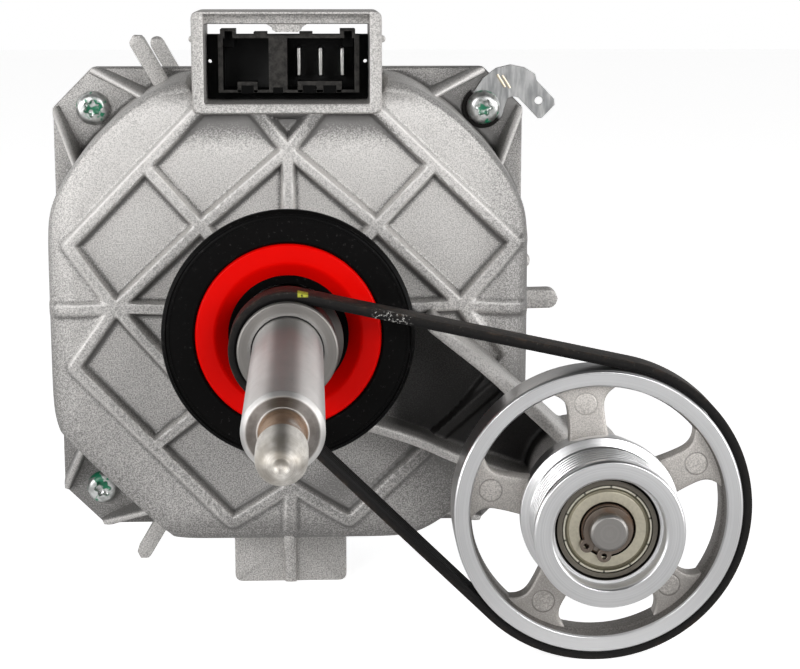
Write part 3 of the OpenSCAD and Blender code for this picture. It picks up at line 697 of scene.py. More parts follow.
def buildConnectorFrame():
    f = connectorFrame
    outer = filledOutline(f["halfWidth"], f["bottom"], f["top"], 1.7)
    middle = filledOutline(f["innerHalf"], f["innerBottom"], f["lipTop"], 0.6)
    inner = filledOutline(f["innerHalf"], f["innerBottom"], f["innerTop"], 0.6)
    y, step, back = f["front"], f["front"] + f["setBack"], f["back"]
    rows = [(outer, outer, 0, back), (outer, outer, 0, 50.0), (outer, outer, 0, y + 0.9),
            (outer, middle, 0.06, y + 0.35), (outer, middle, 0.18, y), (outer, middle, 0.85, y),
            (outer, middle, 1, y + 0.25), (middle, middle, 0, step - 0.1), (middle, inner, 0.05, step),
            (middle, inner, 0.9, step), (middle, inner, 1, step + 0.3), (inner, inner, 0, 50.0),
            (inner, inner, 0, back)]
    flat = np.stack([first + (last - first) * t for first, last, t, depth in rows], 1)
    ring = gridPart(upright(flat, [row[3] for row in rows]), True, True)
    # The tongue in the middle of the top bar narrows downwards with round shoulders
    z = np.linspace(67.6, 65.1, 14)[:, None]
    across = 3.3 + 1.5 * ramp(z, 65.9, 67.2) - 0.8 * (1 - ramp(z, 65.1, 65.7))
    section = boxOutline(1, 42.6, 57.6, 0.3, 3)
    tongue = upright(np.stack(np.broadcast_arrays(across * section[:, 0], z), -1), section[:, 1])
    nubs = [turnedPart(nub["profile"], (side * nub["x"], nub["z"]), 20, False) for side in (-1, 1)]
    addPiece("connectorFrame", [ring, cappedPart(tongue), *nubs], "housing", plainCast, *ofShield, 38)


# Walls round the keyways at the foot of the connector, and near-black blocks that stand in for the shade in
# the slots of its keys.
# Boxes are (left, right, bottom, top, front, back)
keyWalls = [
    (-11.4, -10.5, 51.3, 53.8, 46.0, 50), (-7.7, -6.8, 51.3, 53.8, 46.0, 50),
    (-11.4, -6.8, 52.9, 53.8, 45.95, 50), (2.3, 3.5, 51.3, 53.9, 46.0, 50),
    (11.1, 12.4, 51.3, 53.9, 46.0, 50), (2.3, 12.4, 52.9, 53.9, 45.95, 50), (6.6, 8.2, 51.3, 53.2, 46.0, 50)]
keySlotShades = [
    (-10.5, -7.7, 51.1, 52.9, 45.9, 47), (3.5, 6.6, 51.1, 52.9, 45.9, 47), (8.2, 11.1, 51.1, 52.9, 45.9, 47),
    (-3.3, -1.0, 51.1, 52.5, 45.9, 47), (-14.6, -12.0, 61.4, 65.5, 49, 53.5),
    (12.6, 15.2, 61.4, 65.5, 49, 53.5)]


def blockPart(left, right, bottom, top, front, back):
    outline = filledOutline((right - left) / 2, bottom, top, 0.12, 2, 2) + [(left + right) / 2, 0]
    return slabPart(outline, [(0, front), (0.94, front), (1.0, front + 0.15), (1.0, back), (0, back)])


buildConnectorFrame()
for name, boxes, finish in (("keyWalls", keyWalls, blackPlastic), ("keySlotShades", keySlotShades, paintedSlotShade)):
    blocks = [blockPart(*box) for box in boxes]
    addPiece(name, blocks, "housing", finish, "connector_body", "connector_plastic")

# Bracket arm: two walls, a web and the axle boss, grown together and softened
arm = {
    "upperWidth": 2.9, "upperFront": 21.2, "lowerWidth": 2.5, "lowerFront": 28.6, "back": 43.0,
    "webFront": 39.0, "webBack": 43.4, "voxel": 0.55,
    "boss": [(4, 12.7), (9.5, 12.7, 0.6), (10.7, 14), (12.1, 43.5, 0.5), (6.4, 43.5), (6.4, 40.6), (4, 40.6)],
}


def buildArm():
    px, pz = hubCentre
    upper = smoothPath([(31.5, 1.5), (44.5, -8.9), (49, -13.2), (62.5, -26)])
    lower = smoothPath([(17, -23), (25, -25.4), (31.4, -27.8), (37.8, -31), (px - 9, pz - 1.5)])
    web = np.array([(44.5, -9.6), (50, -14.6), (px - 3, pz + 8), (px - 9, pz - 1), (45, -33)])
    front, back = arm["webFront"], arm["webBack"]
    parts = [
        barPart(upper, arm["upperWidth"], arm["upperFront"], arm["back"]),
        barPart(lower, arm["lowerWidth"], arm["lowerFront"], arm["back"]),
        slabPart(web, [(0, front), (1, front), (1, back), (0, back)]),
        turnedPart(arm["boss"], hubCentre, 72),
    ]
    addPiece("bracketArm", parts, "housing", plainCast, *ofShield, 60, modifiers=softened(arm["voxel"], 5))


buildArm()

# Foot tab with its rib, and the three locating prongs at the rim as
# (angle, front, back, inner radius, outer radius, width)
foot = {"left": -14.2, "right": 13.2, "top": -50.0, "front": 59.5, "back": 68.0, "corner": 2.0}
prongs = [(119.4, 58.0, 62.0, 52.5, 73.2, 3.6), (239.4, 58.0, 62.0, 52.5, 72.8, 3.6),
          (1.0, 57.5, 62.2, 53.0, 64.3, 4.6)]


def prongPart(angle, low, high, start, end, width):
    a = np.radians(angle)
    along = np.linspace(start, end, 24)
    # The sides run into a half circle at the tip
    beyond = np.maximum(along - end + width / 2, 0)
    half = np.sqrt(np.maximum((width / 2) ** 2 - beyond ** 2, 0.01))
    section = boxOutline(1, low, high, 0.3, 2)
    path = along[:, None] * [np.cos(a), np.sin(a)]
    flat = path[:, None, :] + (half[:, None] * section[:, 0])[..., None] * [np.sin(a), -np.cos(a)]
    return cappedPart(upright(flat, section[:, 1]))


def buildFeet():
    front, back, middle = foot["front"], foot["back"], (foot["left"] + foot["right"]) / 2
    outline = filledOutline((foot["right"] - foot["left"]) / 2, floorLevel, foot["top"], foot["corner"], 6, 8)
    rows = [(0, front), (0.97, front), (1.0, front + 0.4), (1.0, back - 0.4), (0.97, back), (0, back)]
    web = barPart([(-0.5, z) for z in (-51.0, -56.0, -62.0, floorLevel + 0.4)], 2.9, 57.6, 60.5, 0.8)
    neck = barPart([(-0.6, z) for z in (-49.5, -52.0, -54.0, -55.6)], 2.6, 40.2, 60.0, 0.9)
    for name, parts in (("footTab", [slabPart(outline + [middle, 0], rows), web, neck]),
                        ("prongSet", [prongPart(*prong) for prong in prongs])):
        addPiece(name, parts, "housing", plainCast, *ofShield, 45)


buildFeet()
print("frame, arm and feet made")

# Seal: black disc with a double lip, and the red ring in its front
seal = {"front": 17.4, "seat": 20.5, "lines": (26.1, 27.0)}


def buildSeal():
    y, seat = seal["front"], seal["seat"]
    disc = [(20.5, y + 0.6, 0.2), (20.9, y, 0.25), (26.6, y, 0.4), (27.9, y + 0.75, 0.4),
            (27.9, y + 1.45, 0.2), (27.45, y + 1.85, 0.15), (27.9, y + 2.2, 0.2), (27.7, y + 3.2, 0.4),
            (26, y + 3.8, 0.4), (23.4, y + 3.8, 0.3), (23.4, 31, 0.2), (20.66, 31, 0.1), (20.66, y + 3.8),
            (19.7, seat), (19.7, 20.12), (20.5, 20.12)]
    addTurned("sealDisc", disc, "housing", blackRubber, "seal_disc", "black_rubber", count=192)
    # Two thin lip lines near the rim, and a black lip inside the red ring that hides the gap to the pinion
    # and so also stands in for the shade in that gap
    line = [(-0.16, 0.2), (-0.08, -0.12), (0.08, -0.12), (0.16, 0.2)]
    lips = [turnedPart([(radius + dr, y + dy) for dr, dy in line], (0, 0), 192) for radius in seal["lines"]]
    lips.append(turnedPart([(11.3, 20.2, 0.2), (13.6, 19.6, 0.2), (14.2, 20.6, 0.2), (13.6, 21.2),
                            (11.3, 20.8, 0.1)]))
    addPiece("sealLips", lips, "housing", blackRubber, "seal_disc", "black_rubber", 35)
    ring = [(13.2, y + 2.3, 0.15), (15.75, y + 0.25, 0.2), (16.3, y - 0.05, 0.3), (20.1, y - 0.1, 0.2),
            (20.45, y + 0.4, 0.15), (20.45, y + 2.7), (19.2, y + 2.7), (19.2, seat), (13.9, seat, 0.2)]
    addTurned("sealRing", ring, "housing", redRubber, "seal_ring", "red_rubber", count=192)


buildSeal()

# Shaft with its stepped stub, the collar and the grooved pinion
shaft = {
    "radius": 7.5, "seat": 8.5, "end": -71.7, "tip": -94.7, "stub": 4.5, "core": 9.7,
    "coreFrom": 38, "coreTo": 116, "joint": 0.3, "grooves": 5,
}


# Ground steel: fine marks round the axis smear its reflections along the shaft. A painted dark reflection
# runs along its top and the stub's top, with painted shade on its sides. The neck behind the stub is stained
# brown, the stub is scuffed, and a black line marks the joint with the collar
def shaftPaint():
    paint = Paint("shaftSteel")
    x, y, z = (paint.level(k) for k in "XYZ")
    radius, aside = (x * x + z * z) ** 0.5, x.size()
    marks, cloud = paint.turning(9.0, 2.0, 0.6), paint.noise(90.0, 4.0, 0.6)
    scuff = paint.noise(220.0, 4.0, 0.7, (1, 0.25, 1))
    steel = (marks * 0.4 + cloud * 0.3 + scuff * 0.3).limited(0.3, 0.7)
    steel = paint.mix(steel, (0.60, 0.585, 0.57), (0.84, 0.825, 0.81))
    inStub, inNeck = 1 - y.limited(-72.2, -71.6), y.between(-84.0, -81.5, -72.2, -71.6)
    brown = paint.mix(cloud.limited(0.35, 0.65), (0.20, 0.10, 0.05), (0.46, 0.32, 0.22))
    stub = paint.mix((scuff * 0.6 + marks * 0.4).limited(0.35, 0.65), (0.42, 0.39, 0.36), (0.88, 0.85, 0.80))
    # Painted dark reflection along the top of the stub
    paintedStubStreak = (1 - (x + cloud * 1.5 - 0.75).size().limited(0.2, 1.9)) * z.limited(-0.5, 1.8) * 0.75
    stub = paint.mix(paintedStubStreak, stub, (0.13, 0.115, 0.095))
    stub = paint.mix((1 - y.limited(-92.5, -89.0)) * cloud.limited(0.42, 0.6) * 0.6, stub, (0.30, 0.26, 0.20))
    streak = (1 - aside.limited(1.4, 3.8)) * z.limited(0.0, 2.0) * (0.75 + scuff * 0.3)
    steel = paint.mix(streak * 0.7, steel, (0.15, 0.145, 0.14))     # painted dark reflection along the top
    # Painted shade on the sides of the shaft
    steel = paint.mix(aside.limited(5.9, 7.2) * 0.45, steel, (0.30, 0.29, 0.285))
    # The end face is dull, and oily at the top
    face = radius.between(4.55, 4.8, 6.3, 6.7) * (1 - y.limited(-71.5, -71.2))
    top = z.limited(0.5, 5.5) * (1 - aside.limited(0.8, 4.6)) * (0.8 + scuff * 0.4)
    dull = paint.mix(scuff.limited(0.3, 0.7), (0.14, 0.135, 0.13), (0.24, 0.235, 0.23))
    dull = paint.mix(top.limited(0.0, 1.0), dull, (0.015, 0.014, 0.013))
    color = paint.mix(inStub, paint.mix(face, steel, dull), stub)
    color = paint.mix(inNeck * cloud.limited(0.28, 0.5), color, brown)
    joint = radius.between(7.42, 7.52, 7.75, 7.85) * y.between(-0.12, -0.04, 0.6, 0.9)
    seat = radius.limited(7.75, 7.85) * y.limited(-0.3, -0.1)
    color = paint.mix(joint, paint.mix(seat, color, (0.27, 0.26, 0.25)), (0.004, 0.004, 0.004))
    ground = paint.bump(marks, 0.06, 1.0, Normal=paint.bump(scuff, 0.02, 0.6))
    return paint.finished(color, 0.36 + scuff * 0.14, ground, Metallic=1 - joint)


def buildShaft():
    r, seat, end, tip, stub, core = (shaft[k] for k in ("radius", "seat", "end", "tip", "stub", "core"))
    back, far, lip = shaft["coreFrom"], shaft["coreTo"], r + shaft["joint"]
    steps = [(0, tip + 0.9), (0.7, tip + 0.5), (1.3, tip + 0.02, 0.2), (2.3, tip + 0.25, 0.3),
             (3.3, tip + 1.2, 0.5), (stub, tip + 4.3, 0.9), (stub, tip + 11.6, 0.3),
             (stub - 0.5, tip + 12.4, 0.3), (stub - 0.5, end - 1.2, 0.4), (stub, end, 0.05),
             (r - 0.83, end, 0.08), (r, end + 0.83, 0.08),
             (r, -40), (r, -20), (r, 0.5), (lip, 0.5), (lip, 0), (seat, 0), (seat, back), (core, back),
             (core, far), (seat, far), (seat, 126.6), (seat - 0.6, 127.2, 0.2), (0, 127.2)]
    collar = [(8.5, 0), (10.4, 0, 0.2), (10.75, 0.35, 0.15), (10.75, 0.8), (8.5, 0.8)]
    grooves = [(8.5, 0.8), (10.4, 0.8)]
    for y in 2.0 + 1.6 * np.arange(shaft["grooves"]):
        for radius, dy in ((10.4, -0.3), (9.65, -0.1), (9.65, 0.1), (10.4, 0.3)):
            grooves.append((radius, y + dy, 0.08))
    grooves += [(10.4, 11.4), (12.0, 12.0, 0.1), (12.0, 13.0, 0.1), (10, 13.0), (10, 28), (8.5, 28)]
    addTurned("steppedShaft", steps, "rotor", shaftPaint(), "rotor_shaft", "shaft_steel", (0, 0), 160, False)
    addTurned("collarRing", collar, "rotor", pinionTurned, "shaft_collar", "collar_steel", (0, 0), 160)
    addTurned("pinionBody", grooves, "rotor", darkPinion, "belt_pinion", "pinion_steel", (0, 0), 160, steps=2)


buildShaft()
print("seal and shaft made")

# Belt: a ribbed section carried round the pinion and the pulley on the open-belt path
belt = {"near": 10.4, "far": 31.4, "gap": 0.1, "rib": 0.7, "thick": 1.4, "from": 1.2, "pitch": 1.6, "ribs": 5}


def beltPath():
    heading = np.arctan2(hubCentre[1], hubCentre[0])
    tilt = np.arccos((belt["far"] - belt["near"]) / np.hypot(*hubCentre))
    big = heading + np.linspace(np.pi - tilt, -np.pi + tilt, 150)
    small = heading + np.linspace(-np.pi + tilt, -np.pi - tilt, 60)
    outer, inner = polar(belt["far"], big, hubCentre), polar(belt["near"], small)
    steps = np.linspace(0, 1, 62)[1:-1, None]
    lower = outer[-1] + (inner[0] - outer[-1]) * steps
    upper = inner[-1] + (outer[0] - inner[-1]) * steps
    return np.concatenate([outer, lower, inner, upper])


# Worn ribbed rubber: the back is dusty and speckled with brown fibres, the ribs stay black. The upper
# strand has a yellow paint mark and some white flecks
def beltPaint():
    paint = Paint("wornBelt", Specular_IOR_Level=0.15)
    fine, fleck = paint.noise(1500.0, 3.0, 0.7), paint.noise(420.0, 2.0, 0.6)
    dust = paint.mix(fleck.limited(0.48, 0.72), (0.020, 0.017, 0.015), (0.062, 0.043, 0.032))
    dust = paint.mix(fine.limited(0.55, 0.75), dust, (0.13, 0.115, 0.10))
    color = paint.mix(paint.value("back") * 0.8, (0.008, 0.0075, 0.0075), dust)
    x, y, z = (paint.level(k) for k in "XYZ")
    mark = x.between(2.1, 2.3, 4.3, 4.5) * z.limited(11.4, 11.6) * (1 - y.limited(4.4, 4.8))
    color = paint.mix(mark * fine.limited(0.30, 0.45), color, (0.42, 0.43, 0.05))
    worn = x.between(17.5, 19.0, 24.0, 27.0) * z.limited(0.0, 0.5) * (1 - y.limited(1.8, 2.6))
    color = paint.mix(worn * fine.limited(0.55, 0.62), color, (0.50, 0.49, 0.47))
    return paint.finished(color, 0.50 + fine * 0.2, paint.bump(fine + fleck, 0.03, 0.8))


def buildBelt():
    low, high = belt["from"], belt["from"] + belt["pitch"] * belt["ribs"]
    tip, root = belt["gap"], belt["gap"] + belt["rib"]
    top = root + belt["thick"]
    section = [(top, low, 0.35), (top, high, 0.35), (root, high, 0.1)]
    for k in reversed(range(belt["ribs"])):
        y = low + k * belt["pitch"]
        section += [(root, y + 1.45), (tip, y + 1.1, 0.1), (tip, y + 0.5, 0.1), (root, y + 0.15)]
    section = eased(section + [(root, low, 0.1)], 3)
    # The path's normal points at the wheels, so offsets away from them are negative
    points = sweptPoints(beltPath(), section * [-1, 1])
    back = np.broadcast_to(ramp(section[:, 0], top - 0.5, top - 0.1), points.shape[:2])
    loop = gridPart(points, True, True)
    addPiece("ribbedBelt", [loop], "housing", beltPaint(), "drive_belt", "belt_rubber", 30, {"back": back})


buildBelt()

# Pulley: turned rim and ribbed hub, five cast spokes that flare into the rim, and ejector marks
wheel = {
    "rim": 31.4, "rimInner": 27.8, "width": 9.6,
    "hubFront": -16.4, "hub": 15.3, "grooves": 7, "pitch": 1.6,
    "spokeAngles": np.radians(97.0 + 72.0 * np.arange(5)), "spokeFront": 3.0, "spokeBack": 7.4, "spot": 23.6,
}


# Place across the pulley axis and distance from it, in millimetres
def hubPlace(paint):
    x, z = paint.level("X") - hubCentre[0], paint.level("Z") - hubCentre[1]
    return x, z, (x * x + z * z) ** 0.5


# Fine turning lines on bright aluminium, duller inside the mouth of the hub, with painted light on its lower
# part and painted shade in the hub's grooves. The rim's inner wall is as cast
def pulleyPaint():
    paint = Paint("pulleyTurned", Metallic=1.0)
    marks, band = paint.turning(4.5, 3.0, 0.6), paint.turning(1.1, 2.0)
    cloud, grain = paint.noise(90.0, 3.0), paint.noise(3000.0, 3.0, 0.65)
    x, z, r = hubPlace(paint)
    y = paint.level("Y")
    mouth = 1 - r.limited(11.75, 12.0)
    groove = r.between(13.0, 14.0, 14.5, 15.2) * y.between(-14.6, -14.2, -2.4, -2.0)
    color = (marks * 0.45 + band * 0.35 + cloud * 0.2).limited(0.36, 0.62)
    color = paint.mix(color, (0.69, 0.69, 0.695), (0.79, 0.79, 0.795))
    # Painted light: the lower part of the pulley is brighter
    color = paint.mix((1 - z.limited(-30.0, -8.0)) * 0.6, color, (0.96, 0.96, 0.965))
    color = paint.mix(mouth * (1 - r.limited(11.05, 11.2)), color, (0.06, 0.055, 0.05))
    # Painted shade in the hub's grooves
    color = paint.mix(groove * 0.8, color, (0.14, 0.135, 0.13))
    wall = r.between(26.0, 26.5, 27.82, 27.95) * y.limited(0.3, 0.5)
    cast = paint.mix(grain.limited(0.35, 0.65), (0.20, 0.19, 0.18), (0.34, 0.325, 0.31))
    color = paint.mix(wall, color, cast)
    return paint.finished(color, 0.26 + band * 0.08 + mouth * 0.3 + wall * 0.3, paint.bump(marks, 0.005))


# As-cast aluminium with a ring on every spoke where an ejector pin pressed, and a grainy spot inside it,
# with painted light that makes the spokes lighter towards the top
def spokePaint():
    paint = Paint("spokeCast", Metallic=0.62, Specular_IOR_Level=0.5)
    x, z, away = hubPlace(paint)
    for a in wheel["spokeAngles"]:
        spotX, spotZ = polar(wheel["spot"], a).tolist()
        dx, dz = x - spotX, z - spotZ
        away = away.maths("MINIMUM", (dx * dx + dz * dz) ** 0.5)
    ring = away.between(2.25, 2.42, 2.5, 2.7)
    inside = 1 - away.limited(2.1, 2.4)
    grain, cloud = paint.noise(3600.0, 3.0, 0.65), paint.noise(60.0, 3.0)
    # Painted light: the spokes get lighter towards the top
    high = paint.axis("Z").limited(-0.064, -0.010)
    tone = grain.limited(0.33, 0.67) * (0.5 + inside * 0.2) + cloud * 0.25 + high * 0.5 - 0.25
    color = paint.mix(tone.limited(0.0, 1.0), (0.36, 0.34, 0.32), (0.74, 0.705, 0.67))
    color = paint.mix(ring * (0.25 + cloud.limited(0.38, 0.62) * 0.35), color, (0.10, 0.09, 0.085))
    return paint.finished(color, 0.42 + grain * 0.2, paint.bump(grain - ring, 0.05, 0.6))


def buildWheel():
    r, inner, w, f, hub = (wheel[k] for k in ("rim", "rimInner", "width", "hubFront", "hub"))
    rim = [(inner, 0.35, 0.12), (inner + 0.35, 0, 0.12), (r - 0.4, 0, 0.15), (r, 0.4, 0.15),
           (r, w - 0.4, 0.15), (r - 0.4, w, 0.15), (inner + 1, w), (inner + 1, 8.4, 0.3),
           (inner - 0.5, 8, 0.3), (inner - 0.5, 3.4, 0.4), (inner, 2.7, 0.4)]
    tube = [(11, 7.98), (11, 7.2), (11, 0), (11, -12.3), (11.7, -12.3, 0.05), (11.7, f + 0.5, 0.2),
            (12.15, f, 0.15), (hub + 0.15, f, 0.15), (hub + 0.6, f + 0.45, 0.15), (hub + 0.6, f + 1.4, 0.15),
            (hub, f + 1.75, 0.1)]
    for y in f + 2.9 + wheel["pitch"] * np.arange(wheel["grooves"]):
        for deep, dy in ((0, -0.5), (0.95, -0.08), (0.95, 0.08), (0, 0.5)):
            tube.append((hub - deep, y + dy, 0.07))
    tube += [(hub, -2.2, 0.1), (hub + 1.9, -1.7, 0.2), (hub + 1.9, 0.6, 0.3), (hub + 0.7, 1.3, 0.3),
             (hub + 0.7, 7.98, 0.3)]
    turned = [turnedPart(corners, hubCentre, 200, True, 3) for corners in (rim, tube)]
    addPiece("turnedWheel", turned, "pulley", pulleyPaint(), "pulley_wheel", "pulley_aluminium", 30,
             latheValues(turned))
    # Along a spoke its half width falls to the middle and flares at both ends
    radius = np.concatenate([np.linspace(14.6, 23, 16), np.linspace(23.5, 28.4, 16)])
    half = 3.9 + 0.8 * np.clip((22 - radius) / 8, 0, 1) ** 2 + 5.2 * np.clip((radius - 21.5) / 6.9, 0, 1) ** 3
    section = boxOutline(1, wheel["spokeFront"], wheel["spokeBack"], 0.35, 3)
    disc = [(0, 2.9), (2.2, 2.9, 0.1), (2.4, 3.02), (2.62, 3.02), (2.62, 3.3), (0, 3.3)]
    spokes, discs = [], []
    for a in wheel["spokeAngles"]:
        swing = a + section[:, 0] * (half / radius)[:, None]
        spokes.append(cappedPart(upright(polar(radius[:, None], swing, hubCentre), section[:, 1])))
        discs.append(turnedPart(disc, polar(wheel["spot"], a, hubCentre), 40, False, 2))
    addPiece("castSpokes", spokes + discs, "pulley", spokePaint(), "pulley_wheel", "pulley_aluminium")


buildWheel()

# Axle pin, and the two sealed bearings on it: their profiles are (radius, depth from the end, cut), and
# their face has rings of tone that begin at a radius. Going outwards they are the brown inner ring, a black
# gap, the olive sheet, painted shade in the groove, a painted highlight on the crimped rim, a dark joint and
# the grey outer ring
hubSet = {
    "pin": [(0, -15.3), (1.0, -15.3), (3.4, -15.4, 0.2), (4, -14.9, 0.2), (4, -13.4), (3.7, -13.4),
            (3.7, -12.4), (4, -12.4), (4, 40.6), (6, 40.6, 0.1), (6, 42.6, 0.4), (0, 42.6)],
    "cover": [(5.85, 0.25, 0), (6.05, 0.12, 0.05), (8.1, 0.12, 0.1), (8.45, 0.45, 0.1), (8.85, 0.45, 0.1),
              (9.0, 0.08, 0.05), (9.3, 0.08, 0.05), (9.44, 0.25, 0), (9.44, 0.75, 0), (5.85, 0.55, 0)],
    "outer": [(9.44, 0.3, 0), (9.6, 0, 0.06), (10.5, 0, 0.15), (10.95, 0.45, 0.15), (10.99, 1, 0),
              (10.99, 6, 0), (10.95, 6.55, 0.15), (10.5, 7, 0.15), (9.6, 7, 0.06), (9.44, 6.7, 0),
              (9, 5.6, 0), (9, 1.4, 0)],
    "inner": [(4.01, 0.3, 0), (4.3, 0, 0.1), (5.35, 0, 0.1), (5.55, 0.2, 0), (5.6, 1, 0), (5.6, 6, 0),
              (5.55, 6.8, 0), (5.35, 7, 0.1), (4.3, 7, 0.1), (4.01, 6.7, 0)],
    "ends": ((-12.3, 1), (0.2, 1), (-5.3, -1), (7.2, -1)),      # depth and direction of each bearing face
    "core": (0.30, 0.27, 0.24),
    "tones": [(5.2, (0.10, 0.065, 0.045)), (5.62, (0.004, 0.004, 0.004)), (5.95, (0.58, 0.54, 0.43)),
              (8.1, (0.34, 0.31, 0.23)), (8.5, (0.12, 0.11, 0.075)), (8.95, (0.72, 0.69, 0.58)),
              (9.42, (0.02, 0.018, 0.016)), (9.56, (0.17, 0.155, 0.13)), (10.6, (0.003, 0.003, 0.003))],
}


def bearingPaint():
    paint = Paint("bearingFace", Metallic=0.9)
    x, z, r = hubPlace(paint)
    fine, cloud = paint.noise(1500.0, 3.0, 0.6), paint.noise(160.0, 3.0, 0.6)
    color = hubSet["core"]
    # Rings of tone, with painted shade in the groove and a painted highlight on the crimped rim
    for start, tone in hubSet["tones"]:
        color = paint.mix(r.limited(start - 0.06, start + 0.06), color, tone)
    # Ten notches round the crimped rim, shown only by painted shade
    turn = z.maths("ARCTAN2", x) * (5 / np.pi) + 0.1
    slot = (turn.maths("FRACT") - 0.5).size()
    notch = r.between(8.9, 9.0, 9.5, 9.6) * (1 - slot.limited(0.03, 0.045))
    color = paint.mix(notch * 0.8, color, (0.015, 0.013, 0.01))
    color = paint.mix((fine * 0.5 + cloud * 0.5).limited(0.35, 0.75) * 0.25, color, (0.09, 0.075, 0.06))
    return paint.finished(color, 0.34 + fine * 0.14, paint.bump(fine, 0.012))


def buildHubSet():
    pin, ends, finish = hubSet["pin"], hubSet["ends"], bearingPaint()
    addTurned("axlePin", pin, "housing", axleWorn, "pulley_axle", "axle_steel", hubCentre, 96, False)
    for name, profile, places, count, body, node, slot in (
            ("bearingShields", "cover", ends, 120, "pulley", "pulley_shields", "bearing_shield"),
            ("outerRaces", "outer", ends[:2], 120, "pulley", "pulley_outer_races", "bearing_steel"),
            ("innerRaces", "inner", ends[:2], 96, "housing", "pulley_inner_races", "bearing_steel")):
        parts = [turnedPart([(r, y + depth * side, cut) for r, depth, cut in hubSet[profile]],
                            hubCentre, count, True, 2) for y, side in places]
        addPiece(name, parts, body, finish, node, slot, 30)


buildHubSet()
print("belt and pulley made")

# Corner screws: domed heads with a six-lobe socket, on plain shanks that reach the rear shield.
# Rows are (radius, depth from the seat, share of the lobes)
screws = {
    "seat": 66.0, "lobes": 0.17,
    "lift": 0.8,       # of the top right head, which sits on the earth tab
    "rows": [(0, -1.25, 1), (1.2, -1.25, 1), (1.62, -1.4, 1), (1.7, -2.45, 1), (1.85, -2.62, 1),
             (2.35, -2.6, 0), (2.9, -2.42, 0), (3.4, -2.08, 0), (3.78, -1.55, 0), (3.96, -0.9, 0),
             (4.0, -0.3, 0), (3.92, 0, 0), (2.0, 0, 0), (2.0, 42.5, 0), (1.5, 43.9, 0), (0, 43.9, 0)],
}


# Bright plated steel with patches of green locking paint in and round the socket
def screwPaint():
    paint = Paint("platedScrew")
    cloud, patch, fine = paint.noise(420.0, 3.0, 0.6), paint.noise(330.0), paint.noise(1600.0)
    base = paint.mix(cloud.limited(0.35, 0.65), (0.42, 0.43, 0.42), (0.78, 0.79, 0.78))
    green = patch.limited(0.53, 0.60) * (1 - paint.level("Y").limited(65.4, 65.9))
    color = paint.mix(green, base, (0.01, 0.20, 0.10))
    return paint.finished(color, 0.26 + fine * 0.15, paint.bump(cloud, 0.02), Metallic=0.9 * (1 - green))


def buildScrews():
    a = np.linspace(0, 2 * np.pi, 72, endpoint=False)[:, None]
    radius, depth, lobed = np.array(screws["rows"]).T
    radius = radius * (1 + screws["lobes"] * lobed * np.cos(6 * a))
    parts = []
    for sx, sz in ((-1, -1), (-1, 1), (1, -1), (1, 1)):
        lift = screws["lift"] * (depth <= 0) * (sx + sz == 2)
        flat = polar(radius, a + 0.3 * sx + 0.7 * sz, (sx * screwSpread, sz * screwSpread))
        parts.append(gridPart(upright(flat, screws["seat"] + depth - lift), True))
    addPiece("screwSet", parts, "housing", screwPaint(), "corner_screws", "screw_steel")


buildScrews()

# Shapes that are right as they are get eased edges or just their finish
easedCopy("connectorBlock", "connector_body", blackPlastic, bevelled(0.22))
easedCopy("rearCasting", "rear_shield", plainCast, softened(0.75, 6), 60, 52.6)
easedCopy("earthSpade", "earth_tab", zincSheet, bevelled(0.12))
easedCopy("terminalBlades", "terminal_tabs", tinned, bevelled(0.15))
easedCopy("retainingRing", "axle_circlip", darkSteel, bevelled(0.1))
# Two pressed bars stiffen the earth tab
barPath = np.array([(0, 0), (0.5, -0.8), (1.4, -2.2), (1.9, -3.0)])
bars = [barPart(barPath + start, 0.62, 64.95, 65.6, 0.2) for start in ((49.8, 54.2), (51.0, 54.0))]
addPiece("tabBars", bars, "housing", pressedBars, "earth_tab", "tab_plate")


def laminationPaint():
    paint = Paint("laminations", Metallic=0.85)
    lines = paint.node("TexWave", {"wave_type": "BANDS", "bands_direction": "Y"}, {
        "Vector": paint.place, "Scale": 320.0, "Distortion": 0.6, "Detail": 2.0, "Detail Scale": 1.0})
    cloud = paint.noise(50.0, 3.0)
    color = paint.mix((lines * 0.6 + cloud * 0.5).limited(0.2, 0.9), (0.16, 0.17, 0.19), (0.42, 0.43, 0.45))
    return paint.finished(color, 0.45 + cloud * 0.2, paint.bump(lines, 0.03))


finishes = {
    laminationPaint(): ("stator_core", "rotor_core"),
    copper: ("stator_coils",),
    insulation: ("slot_insulators",),
    leadRed: ("phase_leads",),
    bearingSteel: ("front_outer_race", "front_inner_race", "rear_outer_race", "rear_inner_race",
                   "pulley_outer_races", "pulley_inner_races", "race_spacer", "axle_washer", "wave_spring"),
    ballSteel: ("front_balls", "rear_balls", "pulley_balls"),
    magnetBlack: ("rotor_magnets",),
    plainCast: ("rotor_end_plates",),
}
for finish, names in finishes.items():
    for name in names:
        nodes[name].data.materials.clear()
        nodes[name].data.materials.append(finish)
print("finishes set")

# Camera, floor, world and lamps


def addCamera():
    rx, ry, rz = camera["tilt"]
    turn = Matrix.Rotation(rz, 3, "Z") @ Matrix.Rotation(rx, 3, "X") @ Matrix.Rotation(ry, 3, "Y")
    toPart = Matrix(((1, 0, 0), (0, 0, -1), (0, 1, 0)))   # viewer axes to part axes
    data = bpy.data.cameras.new("photoCamera")
    data.lens, data.sensor_width, data.sensor_fit = camera["lens"], camera["sensor"], "HORIZONTAL"
    data.clip_start, data.clip_end = 0.02, 20.0
    shot = bpy.data.objects.new("photoCamera", data)
    shot.matrix_world = Matrix.Translation(Vector(camera["place"]) * mm) @ (toPart @ turn).to_4x4()
    bpy.context.scene.collection.objects.link(shot)
    bpy.context.scene.camera = shot


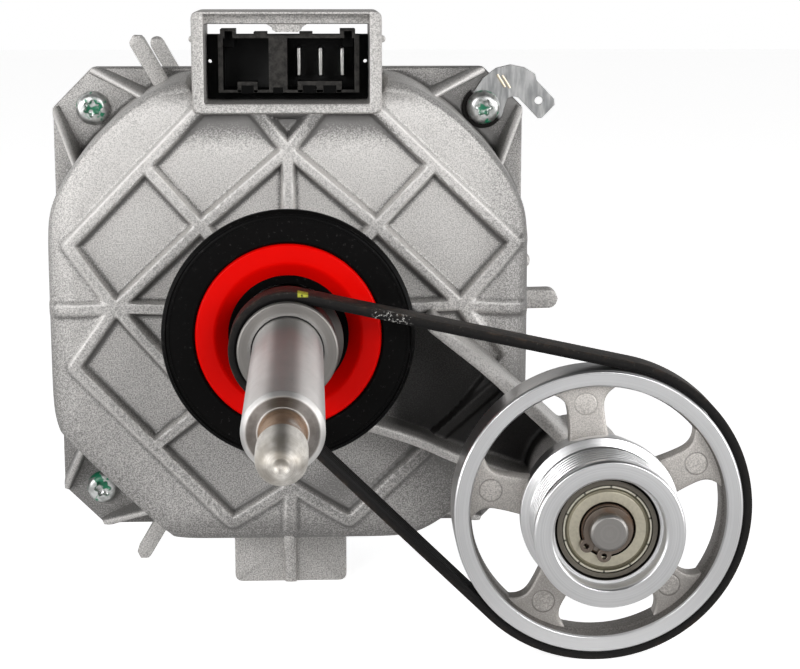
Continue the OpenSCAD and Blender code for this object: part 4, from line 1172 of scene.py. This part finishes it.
def addFloor():
    size = 3.0
    mesh = bpy.data.meshes.new("paleFloor")
    corners = [(-size, -size, 0), (size, -size, 0), (size, size, 0), (-size, size, 0)]
    mesh.from_pydata(corners, [], [(0, 1, 2, 3)])
    ground = bpy.data.objects.new("paleFloor", mesh)
    ground.location = (0, 0, floorLevel * mm)
    bpy.context.scene.collection.objects.link(ground)
    paint = Paint("palePaper", Base_Color=(0.80, 0.80, 0.80), Roughness=0.9)
    ray = paint.node("LightPath", {}, [], "Is Camera Ray")
    behind = paint.node("MapRange", {}, [paint.axis("Y"), -0.05, 0.20, 0.06, 0.9])
    for kind in ("Is Glossy Ray", "Is Transmission Ray"):
        ray = ray.maths("MAXIMUM", paint.node("LightPath", {}, [], kind) * behind)
    glow = paint.node("Emission", {}, {"Color": (1.0, 1.0, 1.0), "Strength": 0.80})
    lit = Wire(paint, paint.shader.outputs[0])
    both = paint.node("AddShader", {}, [lit, glow])
    mixed = paint.node("MixShader", {}, [ray, lit, both])
    paint.feed(paint.tree.nodes["Material Output"].inputs["Surface"], mixed)
    ground.data.materials.append(paint.material)


# The world is white for the camera. Metal and glass see that white behind the motor and at its sides, while
# the room in front of it and above it stays dark
def addWorld():
    world = bpy.data.worlds.new("studio")
    world.use_nodes = True
    bpy.context.scene.world = world
    net = Net(world.node_tree)
    back = net.tree.nodes["Background"]
    back.inputs["Color"].default_value = (1, 1, 1, 1)
    place = net.node("TexCoord", {}, [], "Generated")
    x, y = (net.node("SeparateXYZ", {}, [place], k) for k in "XY")
    behind = net.node("MapRange", {}, [y, -0.30, 0.5, 0.01, 0.85])
    around = behind * net.node("MapRange", {}, [x.size(), 0.10, 0.60, 0.15, 1.0])
    seen = around * 0.75
    for kind in ("Is Camera Ray", "Is Transmission Ray"):
        seen = seen.maths("MAXIMUM", net.node("LightPath", {}, [], kind))
    glossy = around * net.node("LightPath", {}, [], "Is Glossy Ray") * 1.5
    net.feed(back.inputs["Strength"], seen.maths("MAXIMUM", glossy))


# Square lamps as (place, size, power), aimed at the shaft axis
lamps = {
    "leftBox": ((-0.80, -0.35, 0.10), 0.50, 3.0),
    "rightBox": ((0.80, -0.35, 0.10), 0.50, 3.8),
    "leftFront": ((-0.50, -0.90, 0.35), 0.40, 4.4),
    "rightFront": ((0.50, -0.90, 0.35), 0.40, 3.7),
}


def addLamps():
    for name, (place, size, power) in lamps.items():
        data = bpy.data.lights.new(name, "AREA")
        data.shape, data.size, data.energy = "SQUARE", size, power
        light = bpy.data.objects.new(name, data)
        aim = (-Vector(place)).to_track_quat("-Z", "Y").to_matrix().to_4x4()
        light.matrix_world = Matrix.Translation(place) @ aim
        bpy.context.scene.collection.objects.link(light)


addCamera()
addFloor()
addWorld()
addLamps()
bpy.context.scene.view_settings.view_transform = "Standard"
print("stage set")
